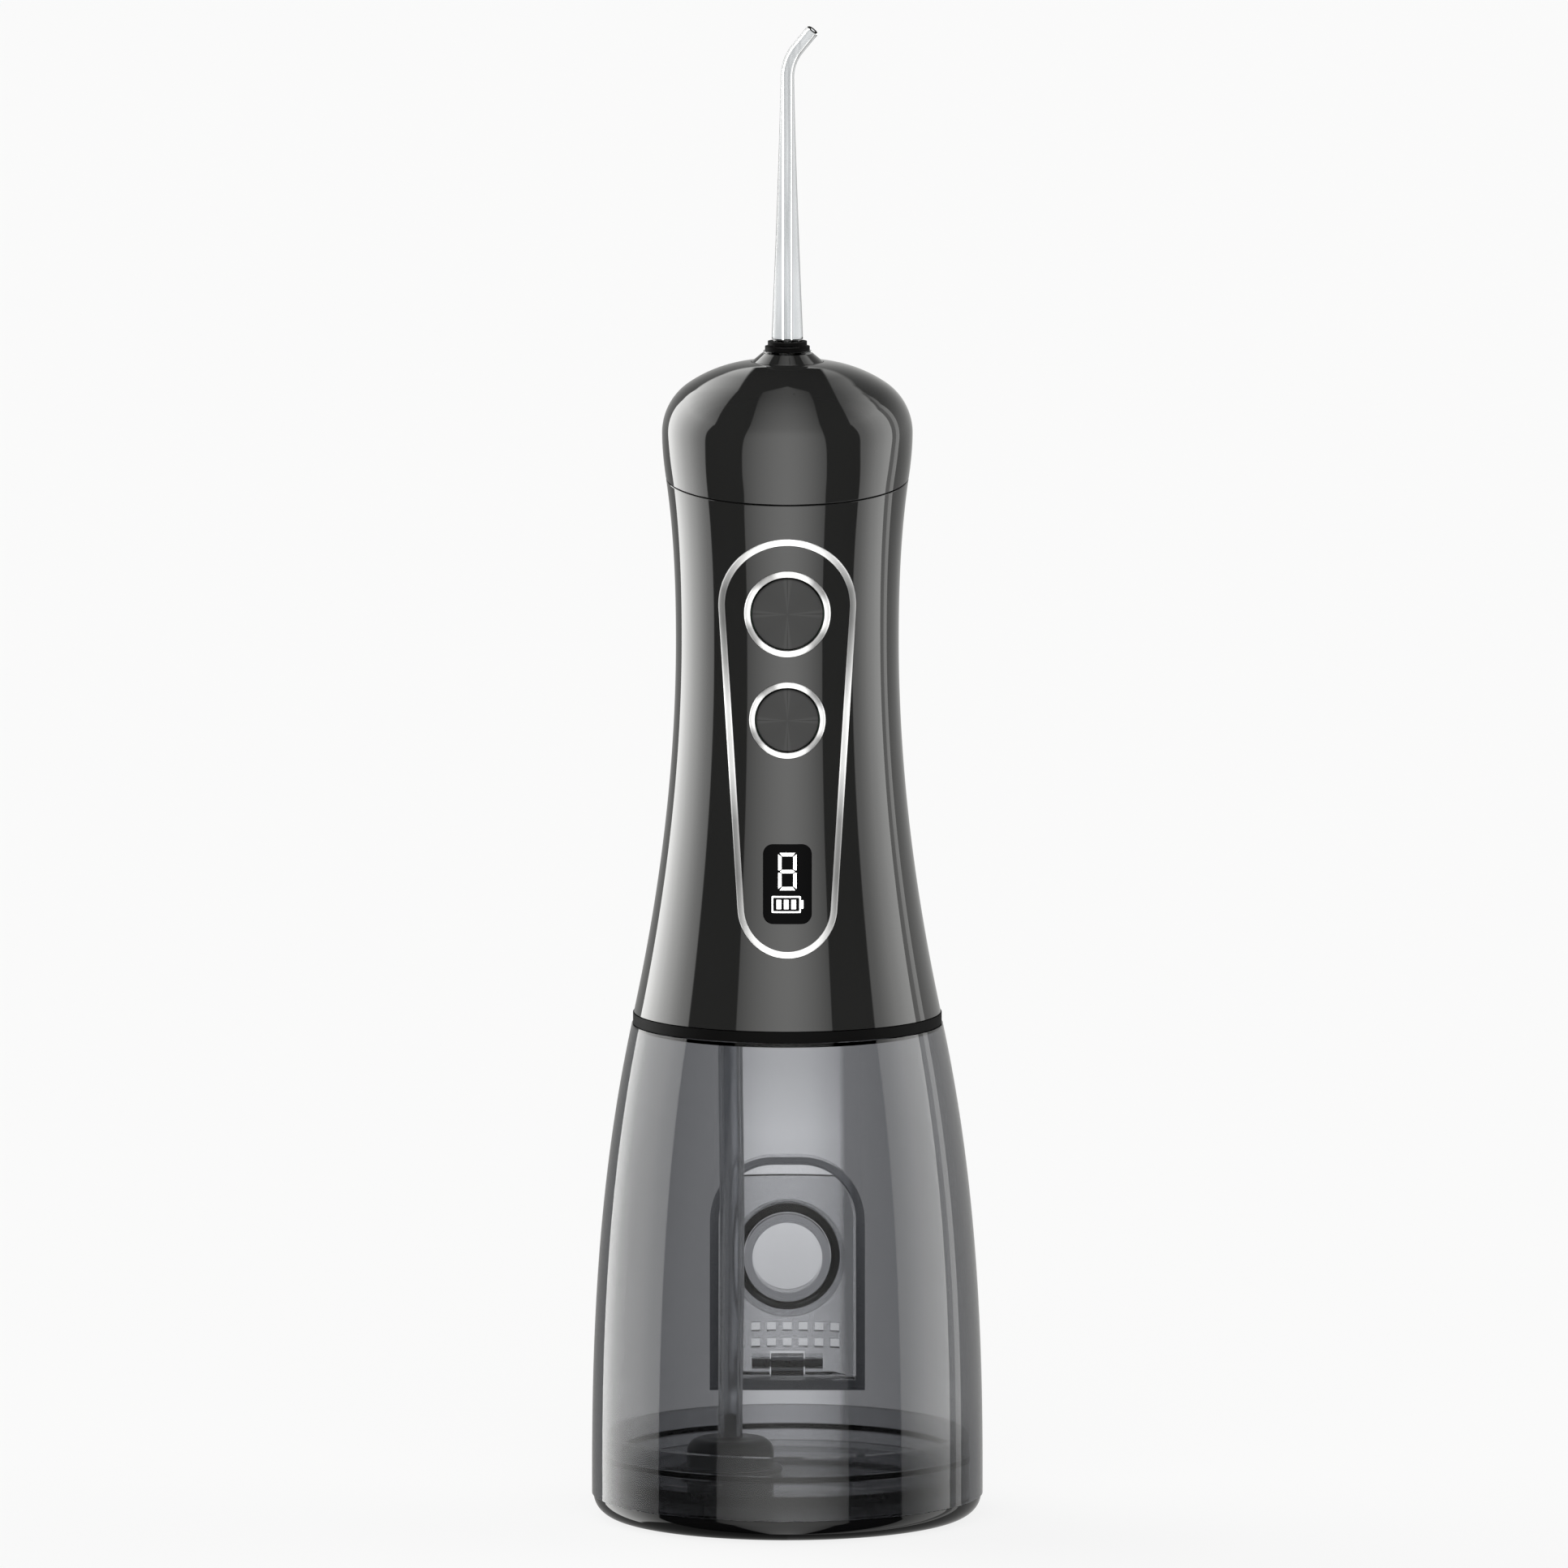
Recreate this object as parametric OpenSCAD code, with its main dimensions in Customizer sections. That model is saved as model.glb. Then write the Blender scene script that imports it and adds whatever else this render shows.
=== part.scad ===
// Cordless water flosser with its handle pushed down over a clear, smoky water tank.
// Millimetres, +Z up. The front, with the buttons and the display, faces -Y.
// The origin is the centre of the foot's underside.
// The whole handle lifts off the tank along +Z, and the jet tip pulls out of the top.

/* [Tank] */
// Radius of the tank just above its base
tank_base_r = 35; // [34.8:0.1:35.2]
// Radius of the tank at its shoulder
tank_top_r = 27.8; // [27.7:0.1:27.9]
// Thickness of the tank's clear wall
tank_wall = 2.2; // [2.1:0.1:2.3]
// Outer radius of the tank's neck
neck_r = 22.6; // [22.5:0.05:22.6]

/* [Handle] */
// Radius of the handle at its lower edge
handle_low_r = 27.45; // [27.4:0.05:27.5]
// Radius of the handle's waist
waist_r = 19.9; // [19.8:0.05:20]
// Thickness of the handle's wall
handle_wall = 2.4; // [2.3:0.1:2.5]
// Slope of the seam below the head cover, in degrees
seam_tilt = 6.7; // [5:0.1:8]

/* [Controls] */
// Height of the power button's centre
power_z = 165; // [164:0.5:166]
// Height of the mode button's centre
mode_z = 146; // [145:0.5:147]
// Radius of the power button
power_r = 6.3; // [6:0.1:6.4]
// Radius of the mode button
mode_r = 5.5; // [5.2:0.1:5.6]

/* [Jet tip] */
// Angle of the bend at the tip's end, in degrees
tip_bend = 40; // [20:5:60]
// Outer radius of the tip at its end
tip_end_r = 1.2; // [1.1:0.05:1.4]
// Turn of the tip about its own axis, in degrees
tip_turn = -20; // [-180:10:180]

/* [Hidden] */
$fn = 64;

black = "#141516";
dark_grey = "#3a3c3e";
smoky = [0.35, 0.36, 0.38, 0.35];
clear = [0.85, 0.87, 0.9, 0.4];
steel = "#b9bcc0";

// Longest straight band of the lathe-turned profiles
band = 4;
// Depth that a cut reaches past the surface it opens
past = 1;

// Tank
tank_low_z = 4.2;
tank_curve_z = 8;
tank_top_z = 89;
tank_top_slope = -0.215;
neck_top_z = 96.5;
neck_bore_r = 20.6;
neck_groove_z = 93.8;
neck_groove_r = 21.5;
tank_floor_z = 8;
cover_r = 32.6;
cover_wall = 2;
cover_top_z = 15.2;
cover_groove_z = 11.3;
cover_groove_r = 31.7;
base_top_z = 4.1;
base_low_z = 0.15;
foot_in_r = 23;
foot_out_r = 29;
foot_h = 1.2;
screw_circle_r = 18;
screw_r = 1.2;
screw_count = 4;

// Refill pocket at the rear of the tank, and its door
pocket_half_w = 12.6;
pocket_low_z = 20.3;
pocket_top_z = 59.4;
pocket_corner_r = 10;
pocket_floor_y = 27.5;
pocket_floor_t = 1.8;
pocket_wall = 1.6;
fill_z = 42.8;
fill_r = 8.7;
plug_r = 7.9;
door_gap = 0.25;
door_t = 2.2;
door_top_z = 57;
door_hinge = [0, 32.2, 22.8];
ear_half_w = 3;
hinge_pin_r = 0.75;
knuckle_r = 1.7;
knuckle_end_x = 6.5;

// Handle
joint_low_z = 89.1;
joint_top_z = 91;
handle_low_z = 91.15;
waist_z = 158;
head_z = 187;
head_r = 21.65;
head_slope = 0.146;
head_widest = [195.2, 22.35];
shoulder_r = 10.6;
shoulder_angle = 56;
crown_r = 23.7;
seam_z = 187.1;
seam_gap = 0.15;
lip_r = [18, 18.88];
lip_z = 180.5;
lip_rise = 0.7;
collar_hole_r = 6.5;
bulkhead_z = [97.5, 99.5];
skirt_r = 22.9;

// Pickup hose and sinker. The hose leaves the handle's base straight down.
hose_xy = [-10.2, -1];
hose_r = 2.2;
hose_bore_r = 1.25;
hose_top_z = 96.2;
hose_route = [
    [-10.2, -1, 96.2], [-10.2, -1, 91], [-10.2, -1, 86], [-10.15, -1, 81], [-10.1, -1, 75],
    [-10, -1.05, 69], [-9.95, -1.1, 63], [-9.9, -1.15, 57], [-9.9, -1.2, 51], [-9.9, -1.2, 45],
    [-9.95, -1.15, 39], [-10, -1.1, 33], [-10.1, -1.05, 28], [-10.15, -1, 23.5], [-10.2, -1, 19],
    [-10.2, -1, 14.2]
];
sinker_r = 7.75;
sinker_z = [8.2, 14.2];
sinker_flange_r = 9.3;

// Front panel
panel_top = [166.2, 12.3];
panel_low = [112.8, 8.9];
panel_span = [102, 180];
trim_w = 1.2;
trim_gap = 0.05;
tangent_slack = 0.01;
panel_depth = 1.6;
skin_gap = 0.05;
button_gap = 0.3;
button_inset = 2.8;
power_ring_r = 7.7;
mode_ring_r = 6.8;
window = [8.6, 14];
window_z = 117;
window_corner_r = 1.8;

// Drive: a motor's pinion turns a crank gear, whose eccentric pin drives a piston pump
gear_module = 0.5;
crank_teeth = 30;
pinion_teeth = 12;
drive_x = 3;
crank_z = 118.5;
pinion_z = crank_z - gear_module * (crank_teeth + pinion_teeth) / 2;
gear_y = [12, 15.4];
crank_throw = 2.5;
pump_y = 9.9;
wrist_z = 134;
rod_y = [8.3, 11.2];
pump_bore_r = 4.5;
pump_r = 5.6;
pump_z = [130, 150];

// Water path to the tip
inlet_z = 153.8;
inlet_heading = atan2(pump_y - hose_xy[1], drive_x - hose_xy[0]);
outlet_x = 5.8;
socket_r = 5;
socket_bore_r = 3.06;
socket_z = [184, 203];
shank_r = 3;
shank_low_z = 188;
tip_flange_z = 209.6;
tip_taper_z = 212;
tip_bend_z = 258.8;
tip_bend_r = 8;
tip_end_len = 4.56;
tip_bore_r = 0.7;
tip_step = 0.03;
tip_groove_z = [190, 191.3];
tip_groove_r = 2.15;
tip_seal = [2.6, 0.42];

// Rear release button and the charging port
release_z = 194;
release_half = [6, 3.2];
release_gap = 0.15;
port_z = [98.9, 107.1];
port_half_w = 7;
port_recess = 1.3;
port_hinge = [0, 24.95, 99.6];
port_edge_r = 0.7;
port_edge_gap = 0.08;
usb_z = [101.4, 104.7];

// Smooth curve between two ends, each given as height, radius and slope
function hermite(z, low, high) =
    let (span = high[0] - low[0], t = (z - low[0]) / span)
    (2 * t^3 - 3 * t^2 + 1) * low[1] + (t^3 - 2 * t^2 + t) * span * low[2]
    + (3 * t^2 - 2 * t^3) * high[1] + (t^3 - t^2) * span * high[2];

function tank_r(z) = z <= tank_curve_z ? tank_base_r
    : hermite(z, [tank_curve_z, tank_base_r, 0], [tank_top_z, tank_top_r, tank_top_slope]);

function handle_r(z) =
    z < waist_z ? hermite(z, [joint_top_z, handle_low_r, tank_top_slope], [waist_z, waist_r, 0])
    : z < head_z ? hermite(z, [waist_z, waist_r, 0], [head_z, head_r, head_slope])
    : z < head_widest[0] ? hermite(z, [head_z, head_r, head_slope], [head_widest[0], head_widest[1], 0])
    : shoulder_c[0] + sqrt(shoulder_r^2 - (z - shoulder_c[1])^2);

// Points of a profile from one height to another, each moved in by an inset
function tank_line(inset, z0, z1) =
    let (n = ceil(abs(z1 - z0) / band))
    [for (i = [0:n]) let (z = z0 + (z1 - z0) * i / n) [tank_r(z) - inset, z]];
function handle_line(inset, z0, z1) =
    let (n = ceil(abs(z1 - z0) / band))
    [for (i = [0:n]) let (z = z0 + (z1 - z0) * i / n) [handle_r(z) - inset, z]];

// The head's rounded top: a tight shoulder that runs into a flatter crown, as radius and height
shoulder_c = [head_widest[1] - shoulder_r, head_widest[0]];
crown_c = shoulder_c + (shoulder_r - crown_r) * [cos(shoulder_angle), sin(shoulder_angle)];
function crown_end(inset) = acos((collar_hole_r - crown_c[0]) / (crown_r - inset));
function arc(centre, r, a0, a1) =
    let (n = ceil((a1 - a0) / 8))
    [for (i = [1:n]) let (a = a0 + (a1 - a0) * i / n) centre + r * [cos(a), sin(a)]];
function dome_line(inset) = concat(
    arc(shoulder_c, shoulder_r - inset, 0, shoulder_angle),
    arc(crown_c, crown_r - inset, shoulder_angle, crown_end(inset)));
function reversed(list) = [for (i = [len(list) - 1:-1:0]) list[i]];
function unit(v) = v / norm(v);

// Layer of the handle's or the tank's wall between two depths under the surface
module handle_skin(outer_inset, inner_inset, z0, z1)
    rotate_extrude() polygon(concat(handle_line(outer_inset, z0, z1), handle_line(inner_inset, z1, z0)));
module tank_skin(outer_inset, inner_inset, z0, z1)
    rotate_extrude() polygon(concat(tank_line(outer_inset, z0, z1), tank_line(inner_inset, z1, z0)));

// Outlines drawn as x and z, pushed towards the front or the rear
module to_front(from_y = 0) translate([0, -from_y, 0]) rotate([90, 0, 0]) linear_extrude(40) children();
module to_rear(from_y = 0) translate([0, from_y, 0]) mirror([0, 1, 0]) rotate([90, 0, 0])
    linear_extrude(40) children();
module ring_2d(outer_r, inner_r) difference() {
    circle(outer_r);
    circle(inner_r);
}
module at_z(z) translate([0, z]) children();
module tube(outer_r, inner_r, z0, z1) translate([0, 0, z0]) linear_extrude(z1 - z0) ring_2d(outer_r, inner_r);
module rod(r, z0, z1) translate([0, 0, z0]) cylinder(r = r, h = z1 - z0);
// Round bar along Y from y0 to y1, about the line at x and z
module y_rod(r, x, z, y0, y1) translate([x, y1, z]) rotate([90, 0, 0]) cylinder(r = r, h = y1 - y0);
module slab(low, high) translate(low) cube(high - low);
module o_ring(major_r, minor_r, z) translate([0, 0, z]) rotate_extrude() translate([major_r, 0]) circle(minor_r);
module rounded_rect(size, r) {
    square([size[0] - 2 * r, size[1]], center = true);
    square([size[0], size[1] - 2 * r], center = true);
    for (sx = [-1, 1], sz = [-1, 1])
        translate([sx * (size[0] / 2 - r), sz * (size[1] / 2 - r)]) circle(r);
}
// Outline of an upper and a lower circle, joined by lines a hair inside their shared tangents
module tapered_pill(inset) {
    nz = (panel_low[1] - panel_top[1]) / (panel_top[0] - panel_low[0]);
    nx = sqrt(1 - nz^2);
    at_z(panel_top[0]) circle(panel_top[1] - inset);
    at_z(panel_low[0]) circle(panel_low[1] - inset);
    polygon([for (side = [1, -1], end = side > 0 ? [panel_low, panel_top] : [panel_top, panel_low])
        let (r = end[1] - inset - tangent_slack) [side * r * nx, end[0] + r * nz]]);
}
module pill_2d(half_w, half_h) {
    square([2 * (half_w - half_h), 2 * half_h], center = true);
    for (side = [-1, 1]) translate([side * (half_w - half_h), 0]) circle(half_h);
}

// Ring of points square to a path at its point i
function path_ring(path, i, r, sides, across) =
    let (t = unit(path[min(i + 1, len(path) - 1)] - path[max(i - 1, 0)]),
         u = unit(cross(across, t)), v = cross(t, u))
    [for (k = [0:sides - 1]) path[i] + r * (cos(360 * k / sides) * u + sin(360 * k / sides) * v)];
function path_rings(path, r, sides, across) =
    [for (i = [0:len(path) - 1]) each path_ring(path, i, r, sides, across)];
function side_faces(rings, sides, first, flip) =
    [for (i = [0:rings - 2], k = [0:sides - 1])
        let (a = first + i * sides + k, b = first + i * sides + (k + 1) % sides)
        flip ? [a, b, b + sides, a + sides] : [a, a + sides, b + sides, b]];
function ring_faces(sides, outer, inner, flip) =
    [for (k = [0:sides - 1]) let (n = (k + 1) % sides)
        flip ? [inner + k, inner + n, outer + n, outer + k] : [outer + k, outer + n, inner + n, inner + k]];

// Hollow tube swept along a path
module swept_tube(path, outer_r, inner_r, sides, across) {
    rings = len(path);
    count = rings * sides;
    polyhedron(
        points = concat(path_rings(path, outer_r, sides, across), path_rings(path, inner_r, sides, across)),
        faces = concat(
            side_faces(rings, sides, 0, false), side_faces(rings, sides, count, true),
            ring_faces(sides, 0, count, false), ring_faces(sides, count - sides, 2 * count - sides, true)));
}
// Solid wire swept along a path
module swept_wire(path, r, sides, across) {
    rings = len(path);
    polyhedron(
        points = path_rings(path, r, sides, across),
        faces = concat(side_faces(rings, sides, 0, false),
            [[for (k = [0:sides - 1]) k], [for (k = [sides - 1:-1:0]) (rings - 1) * sides + k]]));
}

// ---- Tank ----

module pocket_outline(grow) {
    half_w = pocket_half_w + grow;
    corner_r = pocket_corner_r + grow;
    low_z = pocket_low_z - grow;
    corner_z = pocket_top_z - pocket_corner_r;
    corner_x = half_w - corner_r;
    for (side = [-1, 1]) translate([side * corner_x, corner_z]) circle(corner_r);
    translate([-corner_x, low_z]) square([2 * corner_x, pocket_top_z + grow - low_z]);
    translate([-half_w, low_z]) square([2 * half_w, corner_z - low_z]);
}

module tank_profile() polygon(concat(
    [[neck_bore_r, neck_top_z], [neck_bore_r, tank_top_z - tank_wall]],
    tank_line(tank_wall, tank_top_z - tank_wall, tank_low_z),
    tank_line(0, tank_low_z, tank_top_z),
    [[neck_r, tank_top_z], [neck_r, neck_top_z]]));

module tank_shell() color(smoky) difference() {
    union() {
        rotate_extrude() tank_profile();
        intersection() {
            to_rear(pocket_floor_y - pocket_floor_t) pocket_outline(pocket_wall);
            rotate_extrude() polygon(concat([[0, cover_top_z]], tank_line(1, cover_top_z, 70), [[0, 70]]));
        }
        y_rod(fill_r + 1.9, 0, fill_z, pocket_floor_y - pocket_floor_t - 1.1, pocket_floor_y - 1);
    }
    difference() {
        to_rear(pocket_floor_y) pocket_outline(0);
        tank_hinge_ear();
    }
    y_rod(fill_r, 0, fill_z, pocket_floor_y - 5, pocket_floor_y + 1);
    translate(door_hinge) rotate([0, 90, 0]) cylinder(r = hinge_pin_r, h = 2 * ear_half_w + 2, center = true);
    tube(neck_r + past, neck_groove_r, neck_groove_z - 0.8, neck_groove_z + 0.8);
}

module tank_hinge_ear() {
    translate(door_hinge) rotate([0, 90, 0]) cylinder(r = knuckle_r, h = 2 * ear_half_w, center = true);
    slab([-ear_half_w, pocket_floor_y - past, door_hinge[2] - knuckle_r],
        [ear_half_w, door_hinge[1], door_hinge[2] + knuckle_r]);
}

module neck_o_ring() color(black) o_ring(22.2, 0.65, neck_groove_z);

module tank_bottom_cover() color([0.2, 0.2, 0.21, 0.6]) difference() {
    union() {
        tube(cover_r, cover_r - cover_wall, 4.4, cover_top_z);
        rod(cover_r - past, 6, tank_floor_z);
        for (i = [0:screw_count - 1]) rotate(45 + 360 * i / screw_count)
            translate([screw_circle_r, 0]) rod(3, 4.2, 7);
        tube(cover_r - past, 29.4, tank_floor_z - 0.5, tank_floor_z + 1);
    }
    tube(cover_r + past, cover_groove_r, cover_groove_z - 0.6, cover_groove_z + 0.6);
    for (i = [0:screw_count - 1]) rotate(45 + 360 * i / screw_count)
        translate([screw_circle_r, 0]) rod(screw_r, 4, 6.8);
}

module bottom_o_ring() color(black) o_ring(32.22, 0.5, cover_groove_z);

module base_ring() color(black) difference() {
    corner_w = 4.4;
    corner_h = base_top_z - base_low_z;
    rotate_extrude() polygon(concat(
        [[0, base_low_z]],
        [for (a = [-90:10:0]) [tank_base_r - 0.3 - corner_w + corner_w * cos(a), base_top_z + corner_h * sin(a)]],
        [[0, base_top_z]]));
    tube(foot_out_r + 0.05, foot_in_r - 0.05, 0, foot_h + 0.05);
    for (i = [0:screw_count - 1]) rotate(45 + 360 * i / screw_count) translate([screw_circle_r, 0]) {
        rod(screw_r + 0.1, 0, base_top_z + past);
        rod(2.5, 0, 2.1);
    }
}

module foot_ring() color(dark_grey) tube(foot_out_r, foot_in_r, 0, foot_h);

module base_screws() color(steel) for (i = [0:screw_count - 1]) rotate(45 + 360 * i / screw_count)
    translate([screw_circle_r, 0]) difference() {
        union() {
            rod(2.3, 0.7, 2.05);
            rod(screw_r, 2, 6.6);
        }
        for (turn = [0, 90]) rotate(turn) slab([-1.4, -0.25, 0.5], [1.4, 0.25, 1.4]);
    }

module door_hinge_pin() color(steel) translate(door_hinge) rotate([0, 90, 0])
    cylinder(r = hinge_pin_r, h = 2 * knuckle_end_x, center = true);

module refill_door() color(smoky) difference() {
    sweep_r = door_hinge[2] - pocket_low_z - 0.15;
    union() {
        intersection() {
            to_rear(pocket_floor_y) pocket_outline(-door_gap);
            tank_skin(0, door_t, pocket_low_z - past, pocket_top_z + past);
        }
        intersection() {
            union() {
                y_rod(plug_r, 0, fill_z, 24.9, 33);
                y_rod(9.6, 0, fill_z, 28.35, 33);
            }
            rotate_extrude() polygon(concat([[0, 30]], tank_line(1, 30, 56), [[0, 56]]));
        }
        for (side = [-1, 1]) translate(door_hinge) rotate([0, 90 * side, 0]) translate([0, 0, ear_half_w + 0.2])
            cylinder(r = knuckle_r, h = knuckle_end_x - ear_half_w - 0.2);
    }
    y_rod(6.4, 0, fill_z, 24, 30.2);
    slab([-20, pocket_floor_y, door_top_z], [20, 40, 70]);
    slab([-ear_half_w - 0.2, pocket_floor_y - 1, 15], [ear_half_w + 0.2, 40, door_hinge[2] + 2.1]);
    difference() {
        slab([-20, door_hinge[1], 15], [20, 40, door_hinge[2]]);
        translate(door_hinge) rotate([0, 90, 0]) cylinder(r = sweep_r, h = 40, center = true);
    }
    translate(door_hinge) rotate([0, 90, 0])
        cylinder(r = hinge_pin_r + 0.05, h = 2 * knuckle_end_x + 0.4, center = true);
    for (i = [-3:3], row = [0, 1]) translate([2.9 * i, 0, 26.4 + 2.9 * row])
        slab([-0.8, 29, -0.85], [0.8, 40, 0.85]);
}

module refill_seal() color(dark_grey) difference() {
    y_rod(9.6, 0, fill_z, pocket_floor_y + 0.05, 28.3);
    y_rod(8, 0, fill_z, pocket_floor_y - 1, 29);
}

// ---- Handle housing ----

// Everything above or below the tilted seam, moved up by rise
module at_seam(rise) translate([0, 0, seam_z + rise]) rotate([seam_tilt, 0, 0]) children();
module above_seam(rise) at_seam(rise) slab([-50, -50, 0], [50, 50, 60]);
module below_seam(rise) at_seam(rise) slab([-50, -50, -60], [50, 50, 0]);

module handle_shell() color(black) difference() {
    union() {
        difference() {
            handle_skin(0, handle_wall, handle_low_z, head_widest[0]);
            above_seam(-seam_gap / 2);
        }
        difference() {
            tube(lip_r[1], lip_r[0], lip_z, head_widest[0]);
            above_seam(lip_rise);
        }
    }
    intersection() {
        to_front(10) tapered_pill(-trim_gap);
        handle_skin(-past, panel_depth, panel_span[0], panel_span[1]);
    }
    y_rod(power_r + button_gap, 0, power_z, -30, -10);
    y_rod(mode_r + button_gap, 0, mode_z, -30, -10);
    to_front(10) at_z(window_z) square([7.8, 12.8], center = true);
    intersection() {
        to_rear(10) translate([-port_half_w - 0.1, port_z[0] - 0.1])
            square([2 * port_half_w + 0.2, port_z[1] - port_z[0] + 0.2]);
        handle_skin(-past, port_recess, 95, 111);
    }
    port_hinge_rod(port_edge_r + port_edge_gap, port_half_w + 0.1);
    slab([-4.6, 15, usb_z[0] - 0.1], [4.6, 30, usb_z[1] + 0.1]);
}

module head_cover() color(black) difference() {
    rotate_extrude() polygon(concat(
        handle_line(0, 180, head_widest[0]), dome_line(0),
        reversed(dome_line(handle_wall)), handle_line(handle_wall, head_widest[0], 180)));
    below_seam(seam_gap / 2);
    to_rear(10) at_z(release_z) pill_2d(release_half[0] + release_gap, release_half[1] + release_gap);
}

module joint_ring() color(black) tube(27.6, skirt_r, joint_low_z, joint_top_z);

module handle_base() color(dark_grey) difference() {
    wall_inset = handle_wall + skin_gap;
    rotate_extrude() polygon(concat(
        [[0, bulkhead_z[0]], [skirt_r, bulkhead_z[0]], [skirt_r, handle_low_z]],
        handle_line(wall_inset, handle_low_z, bulkhead_z[1]), [[0, bulkhead_z[1]]]));
    translate(hose_xy) rod(1.6, 90, 105);
}

// ---- Water pickup ----

module inlet_barb() color(dark_grey) translate(hose_xy) difference() {
    union() {
        rod(3.2, hose_top_z, 97.4);
        rod(1.5, 97, 101);
        rod(1.05, 90.5, hose_top_z + 0.5);
        for (z = [91.5, 94]) translate([0, 0, z]) cylinder(r1 = 1.1, r2 = 0.9, h = 1);
    }
    rod(0.6, 85, 105);
}

module pickup_hose() color(clear) swept_tube(hose_route, hose_r, hose_bore_r, 12, [0, 1, 0]);

module sinker_body() color(dark_grey) translate(hose_xy) difference() {
    union() {
        rod(sinker_r, sinker_z[0], sinker_z[1]);
        rod(sinker_flange_r, sinker_z[0], sinker_z[0] + 1);
        rod(1.05, sinker_z[1] - 0.5, 18.5);
    }
    rod(6.45, 5, 12.9);
    rod(0.6, 5, 25);
}

module sinker_filter() color(steel) translate(hose_xy) difference() {
    rod(6.4, sinker_z[0], 9.1);
    for (i = [0:11]) rotate(30 * i) for (r = [2.4, 4.8]) translate([r, 0]) rod(0.45, 5, 12);
}

module sinker_weight() color(steel) translate(hose_xy) tube(6.3, 2.5, 9.3, 12.8);

// ---- Front panel ----

module control_panel() color(black) intersection() {
    to_front(10) difference() {
        tapered_pill(trim_w + trim_gap);
        at_z(power_z) circle(power_ring_r + 0.05);
        at_z(mode_z) circle(mode_ring_r + 0.05);
        at_z(window_z) rounded_rect(window + [0.1, 0.1], window_corner_r);
    }
    handle_skin(0, panel_depth - skin_gap, panel_span[0], panel_span[1]);
}

module panel_trim() color(steel) intersection() {
    to_front(10) difference() {
        tapered_pill(0);
        tapered_pill(trim_w);
    }
    handle_skin(-0.12, panel_depth - skin_gap, panel_span[0], panel_span[1]);
}

module button_ring(z, outer_r, inner_r) intersection() {
    to_front(10) at_z(z) ring_2d(outer_r, inner_r);
    handle_skin(-0.3, panel_depth - skin_gap, 132, 180);
}
module power_button_ring() color(steel) button_ring(power_z, power_ring_r, power_r + button_gap);
module mode_button_ring() color(steel) button_ring(mode_z, mode_ring_r, mode_r + button_gap);

// Cap that follows the handle's surface, with a stem that stops short of its switch
module push_button(z, r) {
    intersection() {
        to_front(10) at_z(z) circle(r);
        handle_skin(-0.25, button_inset, 132, 180);
    }
    y_rod(1.5, 0, z, -18.5, -16.9);
}
module power_button() color(black) push_button(power_z, power_r);
module mode_button() color(black) push_button(mode_z, mode_r);

module display_window() color("#050506") intersection() {
    to_front(10) at_z(window_z) rounded_rect(window, window_corner_r);
    handle_skin(0.25, panel_depth - 0.1, 100, 132);
}

// One digit of seven bars and a battery sign with three bars of charge
module digit_8() {
    bar = 0.62;
    for (row = [0, 1, 2]) translate([0, (row - 1) * (6.6 - bar) / 2]) square([2.2, bar], center = true);
    for (column = [-1, 1], row = [-1, 1])
        translate([column * (3.4 - bar) / 2, row * (6.6 - bar) / 4]) square([bar, 2.2], center = true);
}
module battery_sign() {
    difference() {
        square([5.6, 2.95], center = true);
        square([4.9, 2.25], center = true);
    }
    for (i = [-1, 0, 1]) translate([1.5 * i, 0]) square([0.95, 1.45], center = true);
    translate([3.05, 0]) square([0.5, 1.2], center = true);
}
module display_segments() color("white") intersection() {
    to_front(10) {
        at_z(119.2) digit_8();
        at_z(113.4) battery_sign();
    }
    handle_skin(0.06, 0.2, 100, 132);
}

module display_module() color(dark_grey) slab([-3.8, -19.8, 110.7], [3.8, -14.65, 123.3]);

// ---- Electronics ----

module main_pcb() color("#1d5b35") difference() {
    slab([-9, -14.6, 117], [9, -13, 176]);
    for (z = [120, 173], side = [-1, 1]) y_rod(0.8, 7 * side, z, -16, -12);
}

module tact_switches() for (z = [mode_z, power_z]) {
    color(dark_grey) slab([-3, -15.8, z - 3], [3, -14.65, z + 3]);
    color(black) y_rod(1.2, 0, z, -16.25, -15.5);
}

module battery_cell() color("#3f6f9f") translate([2, -4]) {
    rod(7.1, 117.5, 167.5);
    rod(2.6, 167, 168.3);
}

module chassis() color(dark_grey) difference() {
    union() {
        slab([-12, 3.2, 116.5], [13, 4.2, 185.5]);
        rod(16.8, 185, 186.5);
        slab([-8, -10.5, 116], [13, 4.2, 117.3]);
    }
    slab([-6, 0, 165], [9, 10, 184.9]);
    slab([-9.5, 0, 151], [0, 10, 157]);
    rod(socket_r + 0.05, 180, 190);
}

module usb_port() color(steel) difference() {
    slab([-4.5, 17.6, usb_z[0]], [4.5, 22.9, usb_z[1]]);
    difference() {
        slab([-4.1, 18.2, usb_z[0] + 0.4], [4.1, 25, usb_z[1] - 0.4]);
        slab([-3.2, 18, 102.7], [3.2, 22.4, 103.4]);
    }
}

module charge_board() color("#1d5b35") slab([-6, 17.6, 100], [6, 22, 101.2]);

// Bar along the port cover's hinge
module port_hinge_rod(r, half_w) translate(port_hinge) rotate([0, 90, 0]) cylinder(r = r, h = 2 * half_w, center = true);

// Cover whose lower edge is rounded about its hinge
module port_cover() color(dark_grey) intersection() {
    union() {
        slab([-port_half_w, 10, port_hinge[2]], [port_half_w, 40, port_z[1]]);
        port_hinge_rod(port_edge_r, port_half_w);
    }
    handle_skin(0.05, port_recess - skin_gap, 95, 111);
}

// ---- Motor, gears and pump ----

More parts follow.
